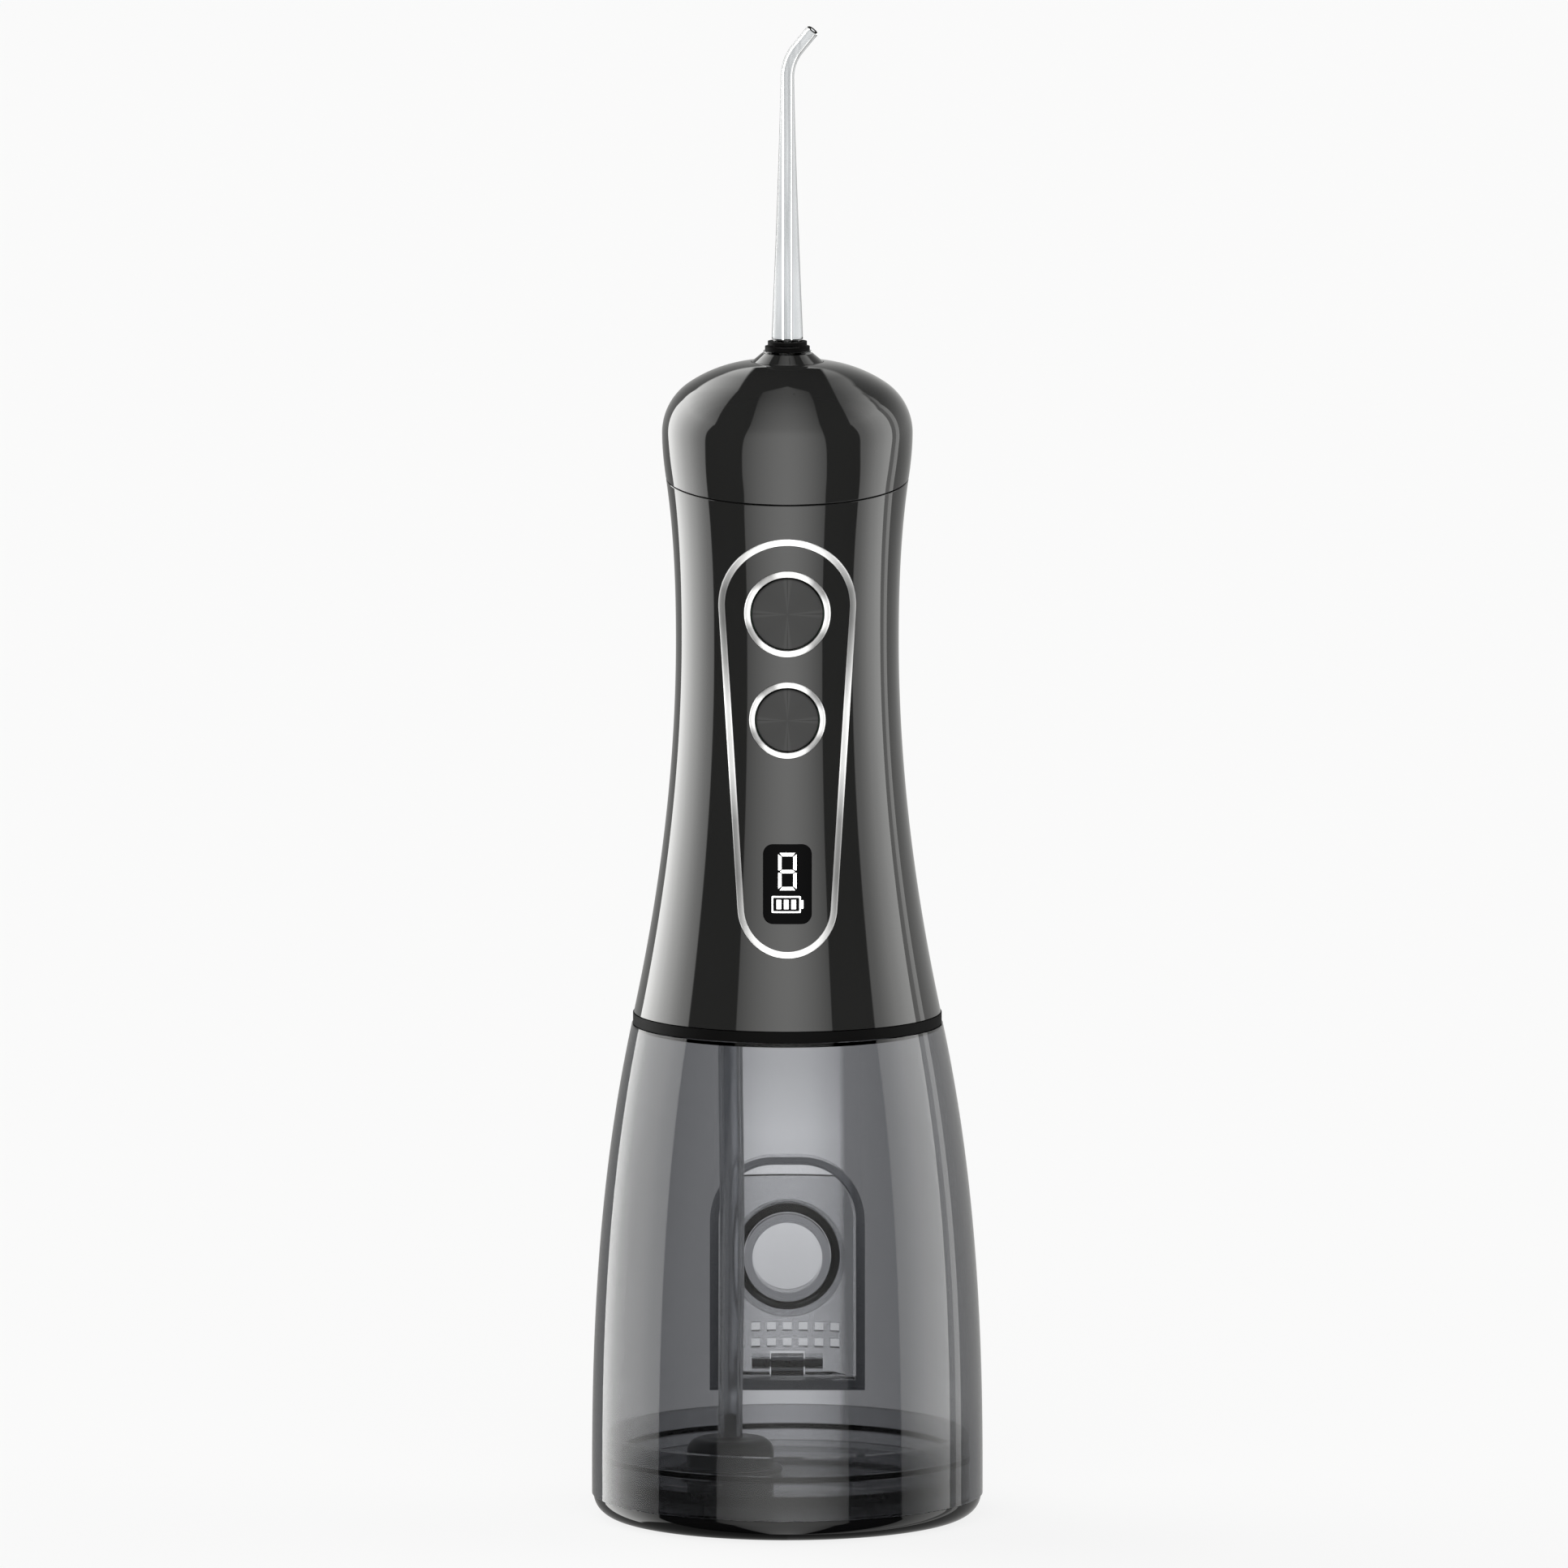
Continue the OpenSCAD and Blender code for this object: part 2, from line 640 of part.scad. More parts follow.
module motor_can() color(steel) intersection() {
    y_rod(10, drive_x, pinion_z, -13, 7.5);
    slab([-20, -20, pinion_z - 7.5], [20, 20, pinion_z + 7.5]);
}

module gearbox_frame() color(dark_grey) difference() {
    union() {
        slab([-6, 7.55, 100.2], [12, 8.1, 112]);
        slab([-4, 8, 100.2], [10, 16.4, 102.2]);
        slab([-3, 16.2, 100.2], [9, 17.4, 121.5]);
    }
    y_rod(1.6, drive_x, pinion_z, 5, 10);
    y_rod(1.05, drive_x, pinion_z, 15, 20);
    y_rod(1, drive_x, crank_z, 15, 20);
}

module gear_axle() color(steel) y_rod(1, drive_x, crank_z, 12, 17.4);

// Spur gear in the XZ plane with one tooth pointing up, turned by turn degrees
module spur_gear(teeth, addendum, dedendum, turn, y0, y1) {
    pitch_r = gear_module * teeth / 2;
    root_r = pitch_r - dedendum;
    top_r = pitch_r + addendum;
    half_pitch_tooth = 90 / teeth - 0.1 / pitch_r * 180 / PI;
    half_root_tooth = half_pitch_tooth * 1.55;
    half_top_tooth = half_pitch_tooth * 0.5;
    step = 360 / teeth;
    translate([0, y1, 0]) rotate([90, 0, 0]) linear_extrude(y1 - y0) rotate(90 + turn)
        polygon([for (i = [0:teeth - 1]) each [
            for (corner = [[root_r, -half_root_tooth], [pitch_r, -half_pitch_tooth], [top_r, -half_top_tooth],
                [top_r, half_top_tooth], [pitch_r, half_pitch_tooth], [root_r, half_root_tooth]])
            corner[0] * [cos(i * step + corner[1]), sin(i * step + corner[1])]]]);
}

module crank_gear() color("white") difference() {
    union() {
        translate([drive_x, 0, crank_z]) spur_gear(crank_teeth, 0.3, 0.62, 180 / crank_teeth, gear_y[0], gear_y[1]);
        y_rod(2, drive_x, crank_z - crank_throw, 11.5, gear_y[0] + 0.5);
    }
    y_rod(1.05, drive_x, crank_z, 11, 18);
}

module motor_shaft() color(steel) y_rod(1, drive_x, pinion_z, 7.55, 17.2);

module pinion_gear() color("#c9a24a") difference() {
    translate([drive_x, 0, pinion_z])
        spur_gear(pinion_teeth, 0.42, 0.5, 0, gear_y[0] + 0.2, gear_y[1] + 0.2);
    y_rod(1, drive_x, pinion_z, 11, 18);
}

module pump_barrel() color(dark_grey) translate([drive_x, pump_y]) tube(pump_r, pump_bore_r, pump_z[0], pump_z[1]);

module pump_head() color(dark_grey) translate([drive_x, pump_y]) difference() {
    rod(pump_r, 150.1, 158);
    for (side = [-1, 1]) translate([2.8 * side, 0]) {
        rod(2.1, 152, 160);
        rod(0.9, 149, 153);
    }
    translate([0, 0, inlet_z]) rotate([0, -90, inlet_heading]) translate([0, 0, 2]) cylinder(r = 1.2, h = 5);
}

module check_valves() color(steel) for (side = [-1, 1]) translate([drive_x + 2.8 * side, pump_y, 153.6]) sphere(1.6);

module valve_cap() color(dark_grey) difference() {
    union() {
        translate([drive_x, pump_y]) rod(pump_r, 158.05, 159.8);
        translate([outlet_x, pump_y]) rod(1.3, 159.5, 163.5);
    }
    translate([outlet_x, pump_y]) rod(0.8, 157, 165);
}

module piston() color("white") translate([drive_x, pump_y]) difference() {
    rod(4.4, 131.5, 140);
    slab([-5, rod_y[0] - 0.1 - pump_y, 131], [5, rod_y[1] + 0.1 - pump_y, 137]);
    tube(4.6, 3.8, 137.95, 139.25);
    translate([0, 0, wrist_z]) rotate([90, 0, 0]) cylinder(r = 1, h = 12, center = true);
}

module piston_seal() color(black) translate([drive_x, pump_y]) tube(4.46, 3.85, 138, 139.2);

module wrist_pin() color(steel) y_rod(1, drive_x, wrist_z, pump_y - 4, pump_y + 4);

module connecting_rod() color("white") difference() {
    low_z = crank_z - crank_throw;
    union() {
        y_rod(3.3, drive_x, low_z, rod_y[0], rod_y[1]);
        y_rod(2.6, drive_x, wrist_z, rod_y[0], rod_y[1]);
        slab([drive_x - 1.5, rod_y[0], low_z], [drive_x + 1.5, rod_y[1], wrist_z]);
    }
    y_rod(2.1, drive_x, low_z, 5, 15);
    y_rod(1.05, drive_x, wrist_z, 5, 15);
}

// ---- Water path and tip ----

module inlet_pipe() color(clear) {
    elbow = [hose_xy[0], hose_xy[1], inlet_z];
    reach = norm([drive_x, pump_y] - hose_xy) - pump_r - 0.1;
    difference() {
        union() {
            translate(hose_xy) rod(2, 101.1, inlet_z + 2.5);
            translate(elbow) rotate([0, 90, inlet_heading]) cylinder(r = 1.8, h = reach);
        }
        translate(hose_xy) rod(1.2, 100, inlet_z + 1.5);
        translate(elbow) rotate([0, 90, inlet_heading]) cylinder(r = 1, h = reach + 1);
    }
}

// The outlet hose leans over the battery to the middle of the head
function bezier(t, a, b, c, d) =
    (1 - t)^3 * a + 3 * t * (1 - t)^2 * b + 3 * t^2 * (1 - t) * c + t^3 * d;
outlet_low = [outlet_x, pump_y, 164];
outlet_high = [0, 0, 178];
outlet_route = concat(
    [[outlet_x, pump_y, 160], [outlet_x, pump_y, 162]],
    [for (i = [0:10]) bezier(i / 10, outlet_low, outlet_low + [0, 0, 7], outlet_high - [0, 0, 7], outlet_high)],
    [[0, 0, 181], [0, 0, 183.9]]);
module outlet_hose() color(clear) swept_tube(outlet_route, 2.2, 1.5, 12, [pump_y, -outlet_x, 0]);

module tip_socket() color(dark_grey) difference() {
    union() {
        rod(socket_r, socket_z[0], socket_z[1]);
        rod(1.3, 178.5, socket_z[0] + 0.5);
    }
    rod(socket_bore_r, 187, 210);
    rod(0.8, 170, 190);
}

module swivel_collar() color(black) difference() {
    union() {
        rod(7.6, 203.2, 204.8);
        rod(6.4, 204.5, 208);
        translate([0, 0, 208]) cylinder(r1 = 6.3, r2 = 4.5, h = 1.5);
    }
    rod(shank_r + 0.05, 200, 212);
}

// Radius of the tip as it thins towards its end
function taper_r(z) = tip_end_r + 1.6 * (1 - (z - tip_taper_z) / (tip_bend_z - tip_taper_z))^1.25;

// The bent end of the tip, or its bore, as a round bar from just below the bend to past the end.
// The straight stretch is thinner than the bend by tip_step, and so is the bend than what it grows from.
module tip_end(r, extra) rotate(tip_turn) translate([tip_bend_r, 0, tip_bend_z]) {
    rotate([90, 0, 180]) rotate_extrude(start = -2, angle = tip_bend + 2) translate([tip_bend_r, 0])
        circle(r - tip_step);
    translate([-tip_bend_r * cos(tip_bend), 0, tip_bend_r * sin(tip_bend)]) rotate([0, tip_bend, 0])
        rod(r - 2 * tip_step, -0.3, tip_end_len + extra);
}

module jet_tip() color(clear) difference() {
    union() {
        rod(shank_r, shank_low_z, tip_flange_z + 0.2);
        rod(4.3, tip_flange_z, tip_flange_z + 0.3);
        rod(2.6, tip_flange_z, tip_taper_z);
        rotate_extrude() polygon(concat([[0, tip_taper_z]],
            [for (i = [0:12]) let (z = tip_taper_z + (tip_bend_z - tip_taper_z) * i / 12) [taper_r(z), z]],
            [[0, tip_bend_z]]));
        tip_end(tip_end_r, 0);
    }
    tube(shank_r + past, tip_groove_r, tip_groove_z[0], tip_groove_z[1]);
    rod(1.8, 180, 205);
    rod(tip_bore_r, 200, tip_bend_z);
    tip_end(tip_bore_r, past);
}

module tip_rings() color(black) {
    tube(4, 2.65, 210, 210.7);
    tube(3.5, 2.65, 211, 211.6);
}

module tip_o_ring() color(black) o_ring(tip_seal[0], tip_seal[1], (tip_groove_z[0] + tip_groove_z[1]) / 2);

// ---- Release of the tip ----

module release_button() color(black) {
    intersection() {
        to_rear(16) at_z(release_z) pill_2d(release_half[0], release_half[1]);
        handle_skin(-0.35, 12, 188, 199);
    }
    translate([0, 0, release_z]) slab([-7.2, 15.9, -3.8], [7.2, 17.4, 3.8]);
}

module tip_latch() color("white") {
    slab([-6.6, 13.9, 193], [6.6, 15.8, 195]);
    for (side = [-1, 1]) translate([5.95 * side, 0]) slab([-0.65, -4, 193], [0.65, 14, 195]);
}

spring_turns = 6;
spring_path = [for (i = [0:12 * spring_turns]) let (a = 30 * i)
    [2 * cos(a), 5.8 + 7.5 * i / (12 * spring_turns), release_z + 2 * sin(a)]];
module release_spring() color(steel) swept_wire(spring_path, 0.25, 6, [0, 1, 0]);

tank_shell();
neck_o_ring();
tank_bottom_cover();
bottom_o_ring();
base_ring();
foot_ring();
base_screws();
door_hinge_pin();
refill_door();
refill_seal();
handle_shell();
head_cover();
joint_ring();
handle_base();
inlet_barb();
pickup_hose();
sinker_body();
sinker_filter();
sinker_weight();
control_panel();
panel_trim();
power_button_ring();
mode_button_ring();
power_button();
mode_button();
display_window();
display_segments();
display_module();
main_pcb();
tact_switches();
battery_cell();
chassis();
motor_can();
gearbox_frame();
gear_axle();
crank_gear();
motor_shaft();
pinion_gear();
pump_barrel();
pump_head();
check_valves();
valve_cap();
piston();
piston_seal();
wrist_pin();
connecting_rod();
inlet_pipe();
outlet_hose();
tip_socket();
swivel_collar();
jet_tip();
tip_rings();
tip_o_ring();
release_button();
tip_latch();
release_spring();
usb_port();
charge_board();
port_cover();
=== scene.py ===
"""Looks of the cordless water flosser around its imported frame.

Object space is in metres. The shape functions below work in millimetres, as the CAD does, and
new_piece() scales what they make.
"""
import math

import bmesh
import bpy
import numpy as np
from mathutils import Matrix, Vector
from mathutils.geometry import delaunay_2d_cdt


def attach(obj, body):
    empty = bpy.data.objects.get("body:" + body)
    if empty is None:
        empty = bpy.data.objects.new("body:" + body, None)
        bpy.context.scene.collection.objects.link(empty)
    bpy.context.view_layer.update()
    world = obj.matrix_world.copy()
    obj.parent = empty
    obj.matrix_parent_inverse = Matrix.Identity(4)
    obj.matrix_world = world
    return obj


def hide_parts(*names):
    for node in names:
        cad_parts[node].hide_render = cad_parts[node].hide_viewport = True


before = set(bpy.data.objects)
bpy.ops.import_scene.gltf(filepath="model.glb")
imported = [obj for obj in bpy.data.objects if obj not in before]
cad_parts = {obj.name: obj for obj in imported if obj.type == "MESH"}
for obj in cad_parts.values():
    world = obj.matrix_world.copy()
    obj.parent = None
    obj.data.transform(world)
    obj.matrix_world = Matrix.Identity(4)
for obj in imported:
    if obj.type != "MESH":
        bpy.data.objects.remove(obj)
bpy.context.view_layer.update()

MM = 0.001
DEGREES = 180 / math.pi
scene = bpy.context.scene

# ---- Camera: a long lens, slightly above the object and looking at its front ----

CAMERA_AIM = Vector((-0.0006, 0, 0.132))
CAMERA_DISTANCE = 5.0
CAMERA_PITCH = math.radians(7.4)
FRAME_WIDTH = 0.28
SENSOR_WIDTH = 36.0

camera_data = bpy.data.cameras.new("camera")
camera_data.sensor_width = SENSOR_WIDTH
camera_data.lens = SENSOR_WIDTH * CAMERA_DISTANCE / FRAME_WIDTH
camera_data.clip_end = 100
camera = bpy.data.objects.new("camera", camera_data)
back = Vector((0, -math.cos(CAMERA_PITCH), math.sin(CAMERA_PITCH)))
camera.location = CAMERA_AIM + CAMERA_DISTANCE * back
camera.rotation_mode = "QUATERNION"
camera.rotation_quaternion = (-back).to_track_quat("-Z", "Y")
scene.collection.objects.link(camera)
scene.camera = camera

# ---- The CAD's own curves, repeated ----

TANK_WALL = 2.2
HANDLE_WALL = 2.4
HEAD, WIDEST_Z, WIDEST_R = (187, 21.65, 0.146), 195.2, 22.35
SHOULDER_R, SHOULDER_ANGLE, CROWN_R, COLLAR_HOLE_R = 10.6, math.radians(56), 23.7, 6.5
SEAM_Z, SEAM_SLOPE, SEAM_GAP, SEAM_EDGE_R = 187.1, math.tan(math.radians(6.7)), 0.15, 0.22
HANDLE_LOW_Z = 91.15
POWER_Z, MODE_Z = 165.0, 146.0
POWER_R, MODE_R = 6.3, 5.5
POWER_RING_R, MODE_RING_R = 7.7, 6.8
BUTTON_GAP = 0.3
PANEL_TOP, PANEL_LOW = (166.2, 12.3), (112.8, 8.9)
PANEL_DEPTH, TRIM_W, TRIM_GAP = 1.6, 1.2, 0.05
WINDOW_Z, WINDOW, WINDOW_CORNER_R = 117.0, (8.6, 14.0), 1.8
POCKET_LOW_Z, POCKET_TOP_Z, POCKET_HALF_W, POCKET_CORNER_R = 20.3, 59.4, 12.6, 10.0
POCKET_FLOOR_Y, POCKET_FLOOR_T, POCKET_WALL = 27.5, 1.8, 1.6
FILL_Z, FILL_R, FILL_RIM_W, FILL_RIM_H = 42.8, 8.7, 1.9, 1.1
DOOR_HINGE, EAR_R, EAR_HALF_W, PIN_BORE_R, PIN_BORE_HALF_W = (0, 32.2, 22.8), 1.7, 3, 0.75, 4
TANK_LOW_Z, TANK_TOP_Z = 4.2, 89.0
TANK_TOP_T = 1.0  # thinner than in the CAD, where it would show as a dark band under the joint ring
NECK_R, NECK_BORE_R, NECK_TOP_Z, GROOVE_R, GROOVE_Z = 22.6, 20.6, 96.5, 21.5, (93.0, 94.6)
BASE_R, BASE_Z, BASE_CORNER_W, BASE_CORNER_H = 34.7, (0.15, 4.1), 4.4, 3.95
FOOT_GROOVE_R, FOOT_GROOVE_TOP_Z, SCREW_CIRCLE_R = (22.95, 29.05), 1.25, 18
LIP_R, LIP_Z, LIP_RISE = (18.0, 18.88), 180.5, 0.7
WINDOW_SLOT = (3.9, 6.4)
RELEASE_Z, RELEASE_HALF, RELEASE_GAP = 194.0, (6.0, 3.2), 0.15
PORT_Z, PORT_HALF_W, PORT_HINGE, PORT_HINGE_R = (98.9, 107.1), 7.0, (0, 24.95, 99.6), 0.78
PORT_GAP, PORT_DEPTH, SOCKET_HALF_W, SOCKET_Z = 0.1, 1.3, 4.6, (101.3, 104.8)
HOSE_R, HOSE_BORE_R = 2.2, 1.25
SINKER_R = 7.75
TIP_TAPER_Z, TIP_BEND_Z, TIP_BEND_R, TIP_END_R, TIP_END_LEN = 212.0, 258.8, 8.0, 1.2, 4.56
TIP_BEND, TIP_TURN, TIP_BORE_R = math.radians(40), math.radians(-20), 0.7


def hermite(z, low, high):
    """Smooth curve between two ends, each given as height, radius and slope."""
    span = high[0] - low[0]
    t = (z - low[0]) / span
    return ((2 * t**3 - 3 * t**2 + 1) * low[1] + (t**3 - 2 * t**2 + t) * span * low[2]
            + (3 * t**2 - 2 * t**3) * high[1] + (t**3 - t**2) * span * high[2])


def tank_r(z):
    z = np.asarray(z, float)
    return np.where(z <= 8, 35.0, hermite(np.maximum(z, 8), (8, 35, 0), (89, 27.8, -0.215)))


def handle_r(z):
    z = np.asarray(z, float)
    shoulder = SHOULDER_C[0] + np.sqrt(np.maximum(SHOULDER_R**2 - (z - SHOULDER_C[1]) ** 2, 0))
    crown = CROWN_C[0] + np.sqrt(np.maximum(CROWN_R**2 - (z - CROWN_C[1]) ** 2, 0))
    return np.select(
        [z < 158, z < HEAD[0], z < WIDEST_Z, z < SHOULDER_C[1] + SHOULDER_R * math.sin(SHOULDER_ANGLE)],
        [hermite(z, (91, 27.45, -0.215), (158, 19.9, 0)), hermite(z, (158, 19.9, 0), HEAD),
         hermite(z, HEAD, (WIDEST_Z, WIDEST_R, 0)), shoulder], crown)


# Centres of the two arcs of the head's top, as radius and height
SHOULDER_C = np.array([WIDEST_R - SHOULDER_R, WIDEST_Z])
CROWN_C = SHOULDER_C + (SHOULDER_R - CROWN_R) * np.array([math.cos(SHOULDER_ANGLE),
                                                          math.sin(SHOULDER_ANGLE)])


def dome_rows(inset):
    """Rows from the head's widest height to the collar's hole."""
    end = math.acos((COLLAR_HOLE_R - CROWN_C[0]) / (CROWN_R - inset))
    rows = []
    for centre, r, a0, a1, n in ((SHOULDER_C, SHOULDER_R, 0, SHOULDER_ANGLE, 24),
                                 (CROWN_C, CROWN_R, SHOULDER_ANGLE, end, 20)):
        for a in np.linspace(a0, a1, n + 1)[0 if a0 == 0 else 1:]:
            rows.append((centre[0] + (r - inset) * math.cos(a), centre[1] + (r - inset) * math.sin(a)))
    return rows


# ---- Mesh tools ----

def new_piece(name, verts, faces, sharp_deg=30):
    """A closed mesh object from points in millimetres, facing outwards, with soft edges below an angle."""
    mesh = bpy.data.meshes.new(name)
    mesh.from_pydata((np.asarray(verts, float) * MM).tolist(), [], faces)
    bm = bmesh.new()
    bm.from_mesh(mesh)
    bmesh.ops.remove_doubles(bm, verts=bm.verts, dist=1e-7)
    bmesh.ops.dissolve_degenerate(bm, edges=bm.edges, dist=1e-8)
    bmesh.ops.recalc_face_normals(bm, faces=bm.faces)
    bm.to_mesh(mesh)
    bm.free()
    obj = bpy.data.objects.new(name, mesh)
    scene.collection.objects.link(obj)
    soften(obj, sharp_deg)
    return obj


def soften(obj, sharp_deg=30):
    mesh = obj.data
    mesh.polygons.foreach_set("use_smooth", [True] * len(mesh.polygons))
    mesh.set_sharp_from_angle(angle=math.radians(sharp_deg))


def lathe(name, rows, sides=256, centre=(0, 0), closed=True, sharp_deg=30):
    """A turned solid. Each row is a radius and a height, either of which may be an array over the sides."""
    angle = 2 * math.pi * np.arange(sides) / sides
    points = []
    for r, z in rows:
        r = np.broadcast_to(np.asarray(r, float), sides)
        z = np.broadcast_to(np.asarray(z, float), sides)
        points.append(np.stack([centre[0] + r * np.cos(angle), centre[1] + r * np.sin(angle), z], 1))
    return new_piece(name, np.concatenate(points), grid_faces(len(rows), sides, closed), sharp_deg)


def grid_faces(rows, sides, closed):
    faces = []
    for i in range(rows if closed else rows - 1):
        a, b = i * sides, ((i + 1) % rows) * sides
        for k in range(sides):
            n = (k + 1) % sides
            faces.append((a + k, a + n, b + n, b + k))
    return faces


def wall_rows(profile, inset, z0, z1, step):
    count = max(1, math.ceil(abs(z1 - z0) / step))
    return [(float(profile(z)) - inset, z) for z in np.linspace(z0, z1, count + 1)]


def eased_tilt(rows, spread=1.2, step=0.1):
    """How far a turned outline's normal leans up, as a function of height, smoothed along the outline."""
    rows = np.array(rows)
    lengths = np.concatenate([[0], np.cumsum(np.hypot(*np.diff(rows, axis=0).T))])
    along = np.arange(0, lengths[-1], step)
    r, z = np.interp(along, lengths, rows[:, 0]), np.interp(along, lengths, rows[:, 1])
    tilt = np.unwrap(np.arctan2(-np.gradient(r), np.gradient(z)))
    half = int(3 * spread / step)
    weight = np.exp(-0.5 * (np.arange(-half, half + 1) * step / spread) ** 2)
    padded = np.concatenate([2 * tilt[0] - tilt[half:0:-1], tilt, 2 * tilt[-1] - tilt[-2:-half - 2:-1]])
    smooth = np.convolve(padded, weight / weight.sum(), "valid")
    return lambda height: np.interp(height, z, smooth)


def polish(obj, surfaces, tolerance=0.03, tilt=None):
    """Gives each face that lies on a turned surface that surface's exact normals.

    surfaces are (profile, inset). tilt, where given, is the lean of the normal as a function of height."""
    mesh = obj.data
    n_loops, n_polys, n_verts = len(mesh.loops), len(mesh.polygons), len(mesh.vertices)
    normals = np.zeros(n_loops * 3, np.float32)
    mesh.corner_normals.foreach_get("vector", normals)
    normals = normals.reshape(-1, 3)
    co = np.zeros(n_verts * 3, np.float32)
    mesh.vertices.foreach_get("co", co)
    co = co.reshape(-1, 3).astype(float) / MM
    face_normal = np.zeros(n_polys * 3, np.float32)
    mesh.polygons.foreach_get("normal", face_normal)
    face_normal = face_normal.reshape(-1, 3)
    loop_vert = np.zeros(n_loops, np.int32)
    mesh.loops.foreach_get("vertex_index", loop_vert)
    starts, totals = np.zeros(n_polys, np.int32), np.zeros(n_polys, np.int32)
    mesh.polygons.foreach_get("loop_start", starts)
    mesh.polygons.foreach_get("loop_total", totals)
    loop_face = np.repeat(np.arange(n_polys), totals)
    rho = np.maximum(np.hypot(co[:, 0], co[:, 1]), 1e-6)
    step, steepest = 0.01, 1.5
    for profile, inset in surfaces:
        if tilt:
            slope = -np.tan(np.minimum(tilt(co[:, 2]), steepest))
        else:
            slope = (profile(co[:, 2] + step) - profile(co[:, 2] - step)) / (2 * step)
        exact = np.stack([co[:, 0] / rho, co[:, 1] / rho, -slope], 1)
        exact /= np.linalg.norm(exact, axis=1)[:, None]
        on = np.abs(rho - (profile(co[:, 2]) - inset)) < tolerance
        face_on = np.ones(n_polys, bool)
        np.logical_and.at(face_on, loop_face, on[loop_vert])
        middle = np.zeros((n_polys, 3))
        np.add.at(middle, loop_face, exact[loop_vert])
        facing = np.sum(middle * face_normal, 1) / totals
        face_on &= np.abs(facing) > 0.9
        chosen = face_on[loop_face]
        sign = np.sign(facing)[loop_face][:, None]
        normals[chosen] = (exact[loop_vert] * sign)[chosen]
    mesh.normals_split_custom_set(normals.tolist())


def boolean(obj, cutter, operation="DIFFERENCE"):
    """Cuts one solid with another, or joins them, and removes the second."""
    cut = obj.modifiers.new("cut", "BOOLEAN")
    cut.operation = operation
    cut.solver = "EXACT"
    cut.object = cutter
    graph = bpy.context.evaluated_depsgraph_get()
    graph.update()
    made = bpy.data.meshes.new_from_object(obj.evaluated_get(graph))
    obj.modifiers.remove(cut)
    obj.data = made
    bpy.data.objects.remove(cutter)
    soften(obj)


def box_piece(low, high):
    corners = [(x, y, z) for z in (low[2], high[2]) for y in (low[1], high[1]) for x in (low[0], high[0])]
    return new_piece("cutter", corners, [(0, 1, 3, 2), (4, 5, 7, 6), (0, 1, 5, 4), (2, 3, 7, 6), (0, 2, 6, 4),
                                         (1, 3, 7, 5)])


def bar_y(r, x, z, y0, y1, sides=96):
    """Round bar along Y."""
    a = 2 * math.pi * np.arange(sides) / sides
    ring = [(x + r * math.cos(t), z + r * math.sin(t)) for t in a]
    verts = [(px, y, pz) for y in (y0, y1) for px, pz in ring]
    faces = grid_faces(2, sides, False) + [tuple(range(sides)), tuple(range(sides, 2 * sides))]
    return new_piece("cutter", verts, faces)


def bar_x(r, centre, half_w, sides=64):
    """Round bar along X."""
    a = 2 * math.pi * np.arange(sides) / sides
    verts = [(centre[0] + x, centre[1] + r * math.cos(t), centre[2] + r * math.sin(t))
             for x in (-half_w, half_w) for t in a]
    faces = grid_faces(2, sides, False) + [tuple(range(sides)), tuple(range(sides, 2 * sides))]
    return new_piece("cutter", verts, faces)


# Outlines in x and z

def circle(r, z, sides=128):
    return [(r * math.cos(2 * math.pi * k / sides), z + r * math.sin(2 * math.pi * k / sides))
            for k in range(sides)]


def rounded_rect(half_w, half_h, r, z, steps=10, x=0):
    points = []
    for cx, cz, start in ((1, 1, 0), (-1, 1, 90), (-1, -1, 180), (1, -1, 270)):
        for k in range(steps + 1):
            a = math.radians(start + 90 * k / steps)
            points.append((x + cx * (half_w - r) + r * math.cos(a), z + cz * (half_h - r) + r * math.sin(a)))
    return subdivided(points, 1.0)


def subdivided(points, step):
    """The closed outline with its long edges split."""
    out = []
    for (x0, z0), (x1, z1) in zip(points, points[1:] + points[:1]):
        count = max(1, math.ceil(math.hypot(x1 - x0, z1 - z0) / step))
        out += [(x0 + (x1 - x0) * k / count, z0 + (z1 - z0) * k / count) for k in range(count)]
    return out


def pill_track(step=0.6):
    """Points of the tapered pill with their outward directions, as rows of x, z, nx, nz."""
    tilt = math.asin((PANEL_LOW[1] - PANEL_TOP[1]) / (PANEL_TOP[0] - PANEL_LOW[0]))
    track = []
    for (centre_z, r), start, end in ((PANEL_TOP, tilt, math.pi - tilt),
                                      (PANEL_LOW, math.pi - tilt, 2 * math.pi + tilt)):
        count = math.ceil(r * (end - start) / step)
        for k in range(count + 1):
            a = start + (end - start) * k / count
            track.append((r * math.cos(a), centre_z + r * math.sin(a), math.cos(a), math.sin(a)))
    out = []
    for a, b in zip(track, track[1:] + track[:1]):
        count = max(1, math.ceil(math.hypot(b[0] - a[0], b[1] - a[1]) / (1.5 * step)))
        out += [tuple(a[i] + (b[i] - a[i]) * k / count for i in range(4)) for k in range(count)]
    return np.array(out)


def circle_track(r, z, sides=128):
    a = 2 * math.pi * np.arange(sides) / sides
    return np.stack([r * np.cos(a), z + r * np.sin(a), np.cos(a), np.sin(a)], 1)


def pill(inset):
    track = pill_track()
    return [tuple(p) for p in track[:, :2] - inset * track[:, 2:]]


def front_y(x, z, height):
    """Where the layer that many millimetres above the handle's surface lies, at its front."""
    return -np.sqrt(np.maximum((handle_r(z) + height) ** 2 - np.asarray(x, float) ** 2, 0))


